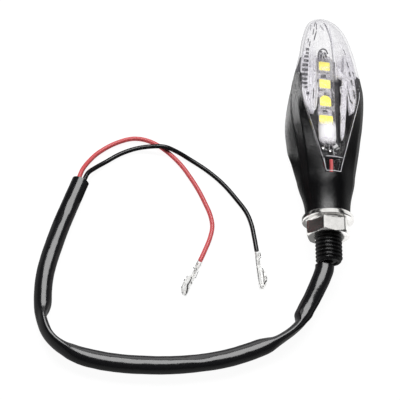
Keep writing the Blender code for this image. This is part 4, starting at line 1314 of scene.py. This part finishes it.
def make_stem():
    rows = int(THREAD_TOP / PITCH * ROWS_PER_PITCH)
    thread = []
    for r in range(rows + 1):
        station = THREAD_TOP * r / rows
        ring = []
        for i in range(STEM_AROUND):
            turn = i / STEM_AROUND
            radius = THREAD_RADIUS - THREAD_DEPTH * thread_profile((station / PITCH - turn) % 1.0)
            radius = min(radius, THREAD_RADIUS - 0.9 * max(0.0, 1.0 - station / 0.9))
            angle = 2.0 * math.pi * turn
            ring.append(place(radius * math.cos(angle), station, radius * math.sin(angle)))
        thread.append(ring)
    mouth = [(9.0, STEM_BORE), (0.35, STEM_BORE), (0.0, 3.15), (0.0, 3.9)]
    inside = [
        (THREAD_TOP + 0.05, STEM_NECK), (20.8, STEM_NECK), (20.85, STEM_COLLAR), (23.2, STEM_COLLAR),
        (23.2, STEM_BORE), mouth[0],
    ]
    first, last = ([circle(*pair, STEM_AROUND) for pair in pairs] for pairs in (mouth, inside))
    verts, faces = loft_lists(first + thread + last, caps=False)
    obj = from_lists("stem_thread", verts, faces, [MATS["stem"]], 60.0)
    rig.replaces(obj, "threaded_stem")
    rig.slot(obj, "stem_black")
    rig.ride(obj, LAMP)
    plug = turned_lists([(0.06, 0.05), (0.1, 1.9), (0.4, 2.85), (6.0, 2.85), (6.0, 0.05)], 32)
    seal = from_lists("stem_seal", *plug, [MATS["sleeve"]], 60.0)
    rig.slot(seal, "sleeve_pvc")
    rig.ride(seal, LAMP)


FLATS = 15.0
FLANGE = 9.7
NUT_AROUND = 180
NUT_TURN = math.radians(-4.0)


def nut_radius(angle, station, low, top):
    """Outer radius of the nut: hexagon, chamfered end, cone and flange."""
    corner = FLATS / math.sqrt(3.0)
    sector = (angle - NUT_TURN) % math.radians(60.0) - math.radians(30.0)
    flat = min(FLATS / 2 / math.cos(sector), corner - 0.22)
    chamfer = FLATS / 2 - 0.1 + (station - low) * 1.75
    cone_start = top - 2.7
    hexagon = min(flat, chamfer)
    share = (station - cone_start) / 0.8
    cone = lerp(corner - 0.9, FLANGE - 0.25, share * share)
    return max(hexagon, cone) if station > cone_start else hexagon


def make_nut():
    low_corner, high_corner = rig.box("flange_nut")
    low = (low_corner.y - END_Y) / MM
    top = (high_corner.y - END_Y) / MM
    angles = [2.0 * math.pi * i / NUT_AROUND for i in range(NUT_AROUND)]
    stations = [low + up for up in (0.02, 0.12, 0.25, 0.4, 0.55, 0.7, 0.85, 1.0, 1.15)]
    stations += ramp_rows(low + 1.5, top - 2.75, 6)
    stations += ramp_rows(top - 2.68, top - 1.9, 9)
    hexagon = []
    for station in stations:
        radii = [nut_radius(a, station, low, top) for a in angles]
        hexagon.append([place(r * math.cos(a), station, r * math.sin(a)) for a, r in zip(angles, radii)])
    mouth = [(low + 3.0, 4.75), (low + 0.7, 4.9), (low + 0.05, 5.7), (low, 6.0), (low, FLATS / 2 - 0.35)]
    flange = [
        (top - 1.8, FLANGE - 0.1), (top - 1.6, FLANGE), (top - 0.3, FLANGE), (top - 0.08, FLANGE - 0.1),
        (top, FLANGE - 0.35), (top, 7.4), (top - 0.25, 7.2), (top - 0.25, 5.6), (top - 0.8, 5.0), mouth[0],
    ]
    first, last = ([circle(*pair, NUT_AROUND) for pair in pairs] for pairs in (mouth, flange))
    verts, faces = loft_lists(first + hexagon + last, caps=False)
    obj = from_lists("nut_hex_flange", verts, faces, [MATS["zinc"]], 26.0, "metal")
    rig.replaces(obj, "flange_nut")
    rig.slot(obj, "zinc")
    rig.ride(obj, NUT)


make_stem()
make_nut()

# ---------------------------------------------------------------- inside the lens

BOARD_TOP = (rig.box("circuit_board")[1].z - AXIS_Z) / MM

# Pieces of the CAD model that stay as they are, and their looks
KEPT_NODES = {
    "circuit_board": "board", "resistor_1": "chip", "resistor_2": "chip", "resistor_3": "chip",
    "diode": "chip_white", "solder_red": "solder", "solder_black": "solder", "lead_red": "red",
    "lead_black": "black",
}
for node, look in KEPT_NODES.items():
    kept = frame["nodes"][node]
    kept.data.materials.clear()
    kept.data.materials.append(MATS[look])
    GROUPS["clear"].objects.link(kept)


def inside_piece(name, lists, mat, slot="lens_clear", sharp=40.0):
    """A piece under the lens that stands for no node of its own."""
    obj = from_lists(name, *lists, [MATS[mat]], sharp, "clear")
    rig.slot(obj, slot)
    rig.ride(obj, LAMP)
    return obj


def chamfer_levels(h0, h1, edge):
    """(height, inset) of the rings of a solid with a chamfered upper edge."""
    return (h0, 0.0), (h1 - edge, 0.0), (h1 - edge * 0.3, edge * 0.3), (h1, edge)


def rounded_box(x0, x1, s0, s1, h0, h1, edge):
    """A box with chamfered upper edges."""
    rings = []
    for h, inset in chamfer_levels(h0, h1, edge):
        rings.append([
            place(x0 + inset, s0 + inset, h), place(x1 - inset, s0 + inset, h),
            place(x1 - inset, s1 - inset, h), place(x0 + inset, s1 - inset, h),
        ])
    return loft_lists(rings)


def outline_plate(outline, h0, h1, edge):
    """A plate with an outline of (x, station) points and a chamfered upper edge."""
    centre_x = sum(p[0] for p in outline) / len(outline)
    centre_s = sum(p[1] for p in outline) / len(outline)
    rings = []
    for h, inset in chamfer_levels(h0, h1, edge):
        ring = []
        for x, s in outline:
            reach = max(math.hypot(x - centre_x, s - centre_s), 0.001)
            t = 1.0 - inset / reach
            ring.append(place(centre_x + (x - centre_x) * t, centre_s + (s - centre_s) * t, h))
        rings.append(ring)
    return loft_lists(rings)


ROD_SIDES = 8


def rod(points, radius):
    """A round rod through (x, station, height) points, with tapered ends."""
    return line_rod([place(*p) for p in points], radius)


def line_rod(line, radius):
    """A round rod through placed points, with tapered ends."""
    dense = dense_curve(line, 5)
    rings = []
    for i, point in enumerate(dense):
        along = (dense[min(i + 1, len(dense) - 1)] - dense[max(i - 1, 0)]).normalized()
        side = along.cross(Vector((0.0, 0.0, 1.0)))
        side = side.normalized() if side.length > 1e-6 else Vector((1.0, 0.0, 0.0))
        up = side.cross(along)
        r = radius * MM * (0.35 if i in (0, len(dense) - 1) else 1.0)
        rings.append([
            point + (side * math.cos(a) + up * math.sin(a)) * r
            for a in (2.0 * math.pi * n / ROD_SIDES for n in range(ROD_SIDES))
        ])
    return loft_lists(rings)


# Half width of each LED, and the half length and height of all
LED_HALVES = {1: 2.4, 2: 2.4, 3: 2.4, 4: 2.9}
LED_HALF_LENGTH = 2.3
LED_HEIGHT = 1.2


def make_leds():
    for number, half in LED_HALVES.items():
        low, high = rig.box("led_%d" % number)
        centre = (low + high) / 2
        x, station = centre.x / MM, (centre.y - END_Y) / MM
        base = (low.z - AXIS_Z) / MM
        start, end = station - LED_HALF_LENGTH, station + LED_HALF_LENGTH
        body = rounded_box(x - half, x + half, start, end, base, base + LED_HEIGHT, 0.25)
        package = from_lists("led_%d_package" % number, *body, [MATS["package"]], 30.0, "clear")
        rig.replaces(package, "led_%d" % number)
        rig.slot(package, "led_phosphor")
        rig.ride(package, LAMP)
        half -= 0.2
        if number == 3:
            arc = [math.pi * i / 12 for i in range(13)]
            outline = [(-half, -1.9), (half, -1.9)]
            outline += [(half * math.cos(a), 0.6 + 2.2 * math.sin(a)) for a in arc]
        else:
            outline = [
                (-half, -1.6), (-half + 0.3, -1.9), (half - 0.3, -1.9), (half, -1.6),
                (half, 1.6), (half - 0.3, 1.9), (-half + 0.3, 1.9), (-half, 1.6),
            ]
        plate = outline_plate([(x + a, station + b) for a, b in outline], base + 1.1, base + 1.35, 0.15)
        inside_piece("led_%d_phosphor" % number, plate, "phosphor", "led_phosphor", 30.0)


def make_bar():
    """Clear half-round light bar with rounded ends over the LEDs."""
    low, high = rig.box("optic_bar")
    start, end = (low.y - END_Y) / MM, (high.y - END_Y) / MM
    base, top = (low.z - AXIS_Z) / MM, (high.z - AXIS_Z) / MM
    half = (high.x - low.x) / 2 / MM
    rings = []
    for i in range(61):
        t = 0.5 - 0.5 * math.cos(math.pi * i / 60)
        station = lerp(start, end, t)
        reach = min(station - start, end - station)
        share = math.sqrt(max(1.0 - (1.0 - min(reach / 3.6, 1.0)) ** 2, 0.0)) * 0.9 + 0.1
        rise = (top - base) * (0.3 + 0.7 * share)
        arc = [math.pi * k / 24 for k in range(25)]
        rings.append([
            place(half * share * math.cos(a), station, base + rise * math.sin(a) ** 0.85) for a in arc
        ])
    obj = from_lists("bar_clear", *loft_lists(rings), [MATS["bar"]], 50.0, "clear")
    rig.replaces(obj, "optic_bar")
    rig.slot(obj, "lens_clear")
    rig.ride(obj, LAMP)


def fluted_panel(name, rows, flutes, node=None):
    """A frosted plate with flutes along it. A row is station, left x, right x, left height, right height."""
    across, along = 10 * flutes, 60
    rings = []
    for i in range(along + 1):
        station = lerp(rows[0][0], rows[-1][0], i / along)
        left, right, height, far_height = smooth_value(rows, station)
        top, bottom = [], []
        for n in range(across + 1):
            t = n / across
            x, level = lerp(left, right, t), lerp(height, far_height, t)
            top.append(place(x, station, level + 0.35 * abs(math.sin(math.pi * flutes * t))))
            bottom.append(place(x, station, level - 0.9))
        rings.append(top + bottom[::-1])
    obj = inside_piece(name, loft_lists(rings), "prism", "prism_clear", 35.0)
    if node:
        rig.replaces(obj, node)


# Frosted panels on both sides of the bar: station, left x, right x, left height, right height
PANEL_LEFT = [(59.8, -6.9, -5.5, 4.4, 4.0), (63.0, -9.4, -4.6, 6.4, 3.9), (68.0, -10.9, -4.1, 7.0, 4.2),
              (76.0, -10.9, -3.9, 6.6, 4.4), (82.0, -10.2, -3.9, 5.6, 4.4), (88.0, -8.8, -4.0, 4.6, 4.2),
              (93.0, -7.4, -4.4, 3.8, 3.8)]
PANEL_RIGHT = [(60.8, 9.0, 10.2, 4.0, 6.8), (64.0, 8.6, 10.9, 4.0, 7.6), (70.0, 8.6, 11.4, 4.2, 7.6),
               (75.0, 8.2, 11.1, 4.4, 7.2), (77.0, 4.6, 11.0, 4.4, 7.0), (84.0, 4.0, 10.2, 4.4, 6.0),
               (93.0, 3.8, 8.2, 3.8, 4.6)]
STRIP_RIGHT = [(49.8, 5.6, 5.9, 3.4, 3.4), (52.0, 5.2, 6.6, 3.8, 3.8), (58.0, 5.3, 7.2, 4.1, 4.1),
               (68.0, 5.8, 8.0, 4.3, 4.3), (77.5, 6.6, 8.4, 4.5, 4.5)]

# Steps of the ladder on the left wall, coloured dark as painted shade: x, station, half width, half length
LADDER = [(-8.2, 86.2, 0.6, 0.37), (-8.3, 84.5, 0.6, 0.22), (-8.7, 82.9, 0.85, 0.31), (-8.8, 81.0, 0.9, 0.37),
          (-9.2, 79.0, 1.1, 0.43), (-9.4, 76.9, 1.15, 0.4), (-9.6, 74.8, 1.2, 0.4), (-9.8, 72.8, 1.15, 0.37),
          (-9.7, 70.9, 1.05, 0.31), (-9.2, 69.2, 0.6, 0.25), (-8.5, 66.6, 0.5, 0.50)]

# Ribs in the lens, coloured as painted highlights, painted shade and painted half shade where the lens bends the
# light: radius, then points of x, station and height
PAINTED_HIGHLIGHT_RIBS = [
    (0.13, [(-5.1, 100.9, 6.8), (-6.2, 95.8, 6.8), (-7.6, 91.0, 6.8), (-8.9, 86.2, 6.8), (-9.8, 82.5, 6.8)]),
    (0.22, [(-5.3, 75.4, 6.8), (-6.1, 70.8, 6.8), (-6.8, 64.9, 6.8), (-7.0, 61.4, 6.8), (-6.2, 59.7, 6.8),
            (-5.3, 61.2, 6.8), (-4.7, 66.5, 6.8), (-4.2, 72.4, 6.8)]),
    (0.14, [(-8.8, 86.0, 6.4), (-9.6, 78.4, 6.4), (-10.5, 72.8, 6.4), (-10.1, 68.4, 6.4)]),
    (0.14, [(-7.2, 86.8, 6.4), (-7.7, 78.5, 6.4), (-8.1, 71.3, 6.4), (-7.7, 65.1, 6.4)]),
    (0.16, [(-6.0, 88.4, 6.8), (-6.4, 81.1, 6.8), (-5.9, 75.3, 6.8)]),
    (0.2, [(1.3, 98.6, 6.5), (2.5, 90.4, 6.5), (3.1, 83.2, 6.5), (3.3, 74.2, 6.5)]),
    (0.22, [(7.3, 71.1, 6.8), (8.0, 65.4, 6.8), (8.5, 61.9, 6.8), (9.4, 60.7, 6.8), (10.4, 62.1, 6.8),
            (11.5, 67.1, 6.8), (11.8, 71.7, 6.6)]),
    (0.13, [(6.9, 72.4, 5.5), (5.1, 72.0, 5.5)]), (0.13, [(5.1, 72.0, 5.5), (5.1, 69.1, 5.5)]),
    (0.13, [(5.1, 69.1, 5.5), (6.9, 69.5, 5.5)]), (0.13, [(5.1, 70.7, 5.5), (6.5, 70.9, 5.5)]),
    (0.13, [(6.5, 63.8, 5.5), (4.8, 63.5, 5.5)]), (0.13, [(4.8, 63.5, 5.5), (4.8, 60.2, 5.5)]),
    (0.13, [(4.8, 60.2, 5.5), (6.5, 60.8, 5.5)]), (0.13, [(6.3, 62.7, 5.5), (6.3, 61.7, 5.5)]),
    (0.15, [(5.5, 90.4, 6.8), (7.7, 84.7, 6.8), (9.3, 78.5, 6.8), (10.1, 73.2, 6.8)]),
]
PAINTED_SHADE_RIBS = [
    (0.3, [(-3.5, 83.0, 6.0), (-3.5, 85.2, 6.0), (-2.8, 87.0, 6.0), (-1.6, 87.9, 6.0), (-0.4, 87.5, 6.0),
           (0.4, 85.8, 6.0)]),
    (0.36, [(-2.6, 83.6, 6.2), (-2.3, 85.2, 6.2)]), (0.3, [(-0.9, 86.2, 6.2), (-0.3, 84.2, 6.2)]),
    (0.3, [(-2.7, 86.2, 6.4), (-2.0, 86.6, 6.4)]), (0.24, [(-1.7, 84.6, 6.4), (-1.5, 83.4, 6.4)]),
    (0.22, [(-3.7, 101.1, 6.3), (-4.6, 98.2, 6.3)]), (0.2, [(-3.5, 100.2, 6.3), (-3.9, 96.4, 6.3)]),
    (0.2, [(-4.8, 97.2, 6.3), (-5.5, 93.9, 6.3)]), (0.25, [(-3.9, 96.0, 6.3), (-5.2, 91.2, 6.3)]),
    (0.12, [(-5.8, 99.0, 6.3), (-6.3, 96.1, 6.3)]), (0.2, [(-7.4, 92.0, 6.8), (-7.8, 89.6, 6.8)]),
    (0.2, [(-6.8, 90.6, 6.8), (-7.3, 87.8, 6.8)]),
    (0.3, [(9.9, 78.6, 6.8), (10.7, 75.1, 6.8), (11.3, 71.6, 6.6)]),
    (0.25, [(8.6, 78.4, 6.8), (9.0, 76.2, 6.8)]), (0.28, [(9.2, 74.9, 6.8), (9.7, 72.3, 6.8)]),
    (0.3, [(7.6, 70.2, 6.8), (8.4, 65.9, 6.8), (9.4, 64.2, 6.8)]),
    (0.25, [(10.0, 70.5, 6.8), (10.5, 66.1, 6.8)]),
    (0.2, [(7.7, 82.9, 6.8), (8.4, 80.2, 6.8)]), (0.2, [(6.6, 88.3, 6.8), (7.4, 85.6, 6.8)]),
    (0.25, [(-6.0, 69.5, 6.8), (-6.4, 64.6, 6.8)]),
]
PAINTED_HALF_SHADE_RIBS = [
    (0.8, [(-2.8, 82.6, 5.2), (-2.6, 85.6, 5.2), (-1.9, 86.8, 5.2)]),
    (0.8, [(-0.2, 82.6, 5.2), (-0.5, 85.4, 5.2), (-1.2, 86.8, 5.2)]),
    (0.32, [(0.1, 99.9, 6.3), (1.6, 92.2, 6.5), (2.3, 83.1, 6.5), (2.8, 75.0, 6.5)]),
    (0.42, [(6.4, 85.3, 6.3), (6.1, 78.4, 6.3)]), (0.3, [(-2.2, 99.4, 6.0), (-1.0, 96.8, 6.0)]),
    (0.3, [(-0.5, 100.9, 6.7), (0.8, 97.0, 6.0)]),
]
# Silver marks and joints at the lower end of the board: radius, then points of x and station
BOARD_MARKS = [
    (0.16, [(2.3, 51.1), (3.2, 44.1)]), (0.3, [(0.8, 49.8), (0.8, 49.0)]), (0.14, [(3.4, 49.2), (4.6, 49.2)]),
    (0.14, [(4.0, 49.9), (4.0, 48.5)]), (0.32, [(4.0, 46.7), (5.4, 47.7)]),
    (0.12, [(-0.6, 48.6), (-0.6, 47.0), (0.4, 46.2)]),
    (0.12, [(1.4, 47.6), (1.0, 46.0)]), (0.1, [(2.6, 45.6), (4.2, 45.2)]),
    (0.1, [(-1.6, 47.0), (-1.0, 45.4)]),
]


def make_window_lines():
    """Thin bright rods round the window where the lens meets the shell: painted highlights of the lens's edge, with a
    painted glow.
    """
    edges = []
    for side, radius in ((-1.0, 0.05), (1.0, 0.09)):
        line = []
        for i in range(13):
            station = lerp(33.0, 68.0, i / 12)
            values = smooth_value(BODY_STATIONS, max(station, 34.0))
            border_x = values[6] if station >= 34.0 else WINDOW_NARROW
            line.append((side * (border_x - 0.35), station, values[7] + 0.05))
        edges.append(rod(line, radius))
    edges.append(rod([(-2.9, 33.0, 9.6), (0.0, 33.0, 9.9), (2.9, 33.0, 9.6)], 0.11))
    edges.append(rod([(-2.7, 39.2, 9.2), (0.5, 39.2, 9.5), (3.9, 39.0, 9.2)], 0.1))
    edges.append(rod([(-3.4, 38.8, 8.8), (-2.7, 33.6, 8.8)], 0.09))
    inside_piece("window_painted_highlights", merged(edges), "rib_painted_highlight")


def under_crown(point, radius):
    """The point, moved down along the camera's line until it lies inside the lens."""
    x, station, height = point
    while height > 1.0:
        row = smooth_value(BODY_STATIONS, min(station, LENGTH))
        border_x, border_z, crown_z = row[6], row[7], row[8]
        crown = border_z + (crown_z - border_z) * (1.0 - min(abs(x) / border_x, 1.0) ** 2)
        if height + radius < crown - 1.2:
            break
        x, station, height = x + 0.019, station + 0.045, height - 0.1
    return x, station, height


def inner_ribs(table):
    return merged([rod([under_crown(p, radius) for p in points], radius) for radius, points in table])


def make_inside_ribs():
    inside_piece("ribs_painted_highlight", inner_ribs(PAINTED_HIGHLIGHT_RIBS), "rib_painted_highlight")
    inside_piece("ribs_painted_half_shade", inner_ribs(PAINTED_HALF_SHADE_RIBS), "rib_painted_half_shade")
    steps = [rounded_box(x - w, x + w, s - n, s + n, 6.9, 7.6, 0.12) for x, s, w, n in LADDER]
    inside_piece("ribs_painted_shade", merged([inner_ribs(PAINTED_SHADE_RIBS)] + steps), "rib_painted_shade")
    marks = [rod([(x, s, BOARD_TOP + 0.12) for x, s in points], r) for r, points in BOARD_MARKS]
    # The small white rods scattered between the LEDs are painted glints of solder.
    rng = random.Random(11)
    for station in (78.5, 70.5, 62.5, 86.3):
        for _ in range(7):
            x, s = rng.uniform(-1.9, 1.9), station + rng.uniform(-1.2, 1.2)
            dx, ds = rng.uniform(-0.7, 0.7), rng.uniform(-0.6, 0.6)
            ends = [(x, s, BOARD_TOP + 0.42), (x + dx, s + ds, BOARD_TOP + 0.42)]
            marks.append(rod(ends, rng.uniform(0.1, 0.24)))
    inside_piece("board_marks_and_glints", merged(marks), "chip_white", "solder")


def make_lands():
    """Pale glossy fields of the board between the LEDs, with the painted scribbles and painted glow of the prism
    material.
    """
    fields = []
    for start, end in ((53.5, 56.0), (61.0, 64.0), (69.0, 72.0), (77.0, 80.0), (85.0, 88.0)):
        fields.append(rounded_box(-2.9, 2.9, start, end, BOARD_TOP + 0.02, BOARD_TOP + 0.35, 0.1))
    inside_piece("board_fields", merged(fields), "land", "board")


make_leds()
make_lands()
make_bar()
fluted_panel("prisms_left", PANEL_LEFT, 5, "prism_strip_left")
fluted_panel("prisms_right", PANEL_RIGHT, 3, "prism_strip_right")
fluted_panel("prisms_right_strip", STRIP_RIGHT, 2)
make_window_lines()
make_inside_ribs()

# ---------------------------------------------------------------- crimp terminals

# Ends of each terminal on the floor
TERMINALS = {"red": ((-46.9, -53.2), (-52.4, -66.5)), "black": ((-25.2, -47.3), (-23.4, -61.0))}
TERMINAL_FLOOR = 0.1
PAINTED_SHADE_HEIGHT = 1.75
# Painted shade: dark rods along the folds and in the holes of each terminal, where shade falls: radius, then points of
# distance along it and to its side
PAINTED_SHADE_SEAMS = {
    "red": [
        (0.18, [(0.5, -0.6), (1.3, -0.62), (2.3, -0.55)]), (0.34, [(3.3, 1.0), (3.5, 1.0)]),
        (0.26, [(2.2, 0.55), (2.4, 0.6)]), (0.28, [(3.2, 0.0), (3.5, 0.0)]),
        (0.22, [(4.2, 0.27), (4.5, 0.2)]),
        (0.08, [(4.7, 0.14), (6.6, -0.31)]), (0.09, [(3.7, -1.0), (6.4, -1.1)]),
        (0.2, [(6.5, -1.1), (6.7, -1.1)]),
        (0.14, [(6.8, 0.2), (8.6, 0.26), (10.5, 0.45)]),
        (0.24, [(10.0, 0.4), (11.0, 0.25), (12.3, -0.25), (13.9, -0.4)]),
        (0.12, [(8.5, 0.1), (9.5, -0.9)]), (0.13, [(8.9, 2.2), (9.4, 2.26), (9.8, 2.2)]),
        (0.24, [(12.1, 2.02), (12.6, 1.9)]), (0.26, [(14.1, 0.9), (14.4, 0.8)]),
        (0.24, [(14.2, -0.2), (14.4, -0.25)]),
        (0.1, [(7.3, 1.8), (8.2, 2.1)]),
    ],
    "black": [
        (0.13, [(0.3, -0.8), (3.4, -0.92), (5.8, -1.05)]),
        (0.14, [(6.0, -0.95), (9.3, -0.95), (12.1, -0.95)]),
        (0.12, [(12.1, -0.95), (14.0, -0.7)]), (0.08, [(3.0, 0.3), (5.4, -0.2)]),
        (0.17, [(0.3, 0.85), (1.2, 1.0), (1.9, 1.05)]), (0.24, [(2.3, 0.95), (2.6, 0.85)]),
        (0.12, [(2.7, 0.6), (3.1, 0.15)]),
        (0.15, [(6.6, 1.1), (8.4, 1.2)]), (0.22, [(8.2, 1.25), (8.6, 1.25)]),
        (0.12, [(8.4, 1.2), (11.3, 0.95), (12.4, 0.85)]),
        (0.13, [(9.7, 1.85), (11.3, 2.1)]), (0.2, [(11.3, 2.1), (12.2, 1.4), (12.9, 0.8)]),
        (0.34, [(13.7, 0.3), (13.9, 0.3)]), (0.24, [(14.0, -0.6), (14.2, -0.6)]),
    ],
}


def channel(frame_of, rows, wall, floor):
    """An open channel of bent strip. Each row is its distance, middle, half width, left and right height."""
    rings = []
    for s, middle, half, left, right in rows:
        outline = [
            (-half, left), (-half, 0.0), (half, 0.0), (half, right),
            (half - wall, right), (half - wall, wall), (wall - half, wall), (wall - half, left),
        ]
        rings.append([frame_of(s, middle + a, floor + h) for a, h in outline])
    return loft_lists(rings)


def crimp(frame_of, s0, s1, radius, lift, open_angle, wall, ridged):
    """A strip curled round the wire, open at the top."""
    rings = []
    for i in range(11):
        s = lerp(s0, s1, i / 10)
        r = radius - (0.10 * (i % 2) if ridged else 0.0)
        outer, inner = [], []
        for n in range(17):
            a = math.radians(lerp(90.0 + open_angle, 450.0 - open_angle, n / 16))
            outer.append(frame_of(s, r * math.cos(a), lift + r * math.sin(a)))
            inner.append(frame_of(s, (r - wall) * math.cos(a), lift + (r - wall) * math.sin(a)))
        rings.append(outer + inner[::-1])
    return loft_lists(rings)


def make_terminal(colour, bulge):
    """A female crimp terminal: insulation wings, conductor crimp, box with a bulging spring leaf."""
    (x0, y0), (x1, y1) = TERMINALS[colour]
    length = math.hypot(x1 - x0, y1 - y0)
    along = ((x1 - x0) / length, (y1 - y0) / length)
    side = (-along[1] * bulge, along[0] * bulge)

    def frame_of(s, across, height):
        """A point of the terminal: distance along it, distance to its side, height over the floor."""
        x = x0 + along[0] * s + side[0] * across
        y = y0 + along[1] * s + side[1] * across
        return Vector((x, y, height)) * MM

    low = TERMINAL_FLOOR
    base = [(0.1, 0.0, 0.7, 0.3, 0.3), (2.6, 0.0, 0.7, 0.9, 0.9), (3.2, 0.0, 0.7, 0.9, 0.9),
            (5.8, 0.0, 0.75, 0.8, 0.8), (6.6, 0.0, 0.85, 1.3, 1.3), (12.8, 0.0, 0.85, 1.4, 1.4),
            (14.2, 0.0, 0.75, 1.2, 1.2)]
    leaf = [(6.8, 0.9, 0.25, 1.0, 1.3), (8.2, 1.35, 0.5, 1.0, 1.7), (10.6, 1.65, 0.6, 1.0, 1.9),
            (12.4, 1.45, 0.5, 1.0, 1.7), (13.9, 0.9, 0.3, 0.9, 1.2)]
    tongue = [(7.6, -0.25, 0.35, 0.3, 0.3), (8.4, -0.2, 0.42, 0.3, 0.3), (11.4, -0.15, 0.42, 0.3, 0.3),
              (12.8, -0.1, 0.3, 0.3, 0.3)]
    strip = merged([
        crimp(frame_of, 0.15, 2.6, 1.1, low + 1.12, 30.0, 0.22, False),
        crimp(frame_of, 3.3, 5.6, 0.85, low + 0.87, 14.0, 0.25, True),
        channel(frame_of, base, 0.22, low),
        channel(frame_of, leaf, 0.2, low + 0.25),
        channel(frame_of, tongue, 0.2, low + 0.95),
    ])
    obj = from_lists("terminal_%s_strip" % colour, *strip, [MATS["tin"]], 32.0, "metal")
    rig.replaces(obj, "terminal_%s" % colour)
    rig.slot(obj, "tin")
    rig.ride(obj, LAMP)
    # Painted shade, laid as dark rods along the folds and in the holes.
    painted_shade_seams = [
        line_rod([frame_of(s, across, PAINTED_SHADE_HEIGHT) for s, across in points], radius)
        for radius, points in PAINTED_SHADE_SEAMS[colour]
    ]
    dark = from_lists("terminal_%s_hollows" % colour, *merged(painted_shade_seams), [MATS["hollow"]], group="metal")
    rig.slot(dark, "tin")
    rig.ride(dark, LAMP)
    return obj


red_terminal = make_terminal("red", -1.0)
black_terminal = make_terminal("black", 1.0)

# ---------------------------------------------------------------- declarations and output

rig.cord(
    sleeve, exit=sleeve_points[0], length=line_length(sleeve_points), diameter=2 * SLEEVE_RADIUS * MM,
    far_end="bare", stiffness="limp", lay="loose", path=sleeve_points,
)
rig.cord(
    red_wire, exit=red_points[0], length=line_length(red_points), diameter=2 * WIRE_RADIUS * MM,
    far_end="connector", stiffness="medium", lay="loose", with_pieces=[red_terminal],
)
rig.cord(
    black_wire, exit=black_points[0], length=line_length(black_points), diameter=2 * WIRE_RADIUS * MM,
    far_end="connector", stiffness="medium", lay="loose", with_pieces=[black_terminal],
)

visual_low, visual_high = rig.bounds()
with open("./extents.json", "w") as out:
    json.dump({"cad": [list(cad_low), list(cad_high)], "visual": [list(visual_low), list(visual_high)]}, out)
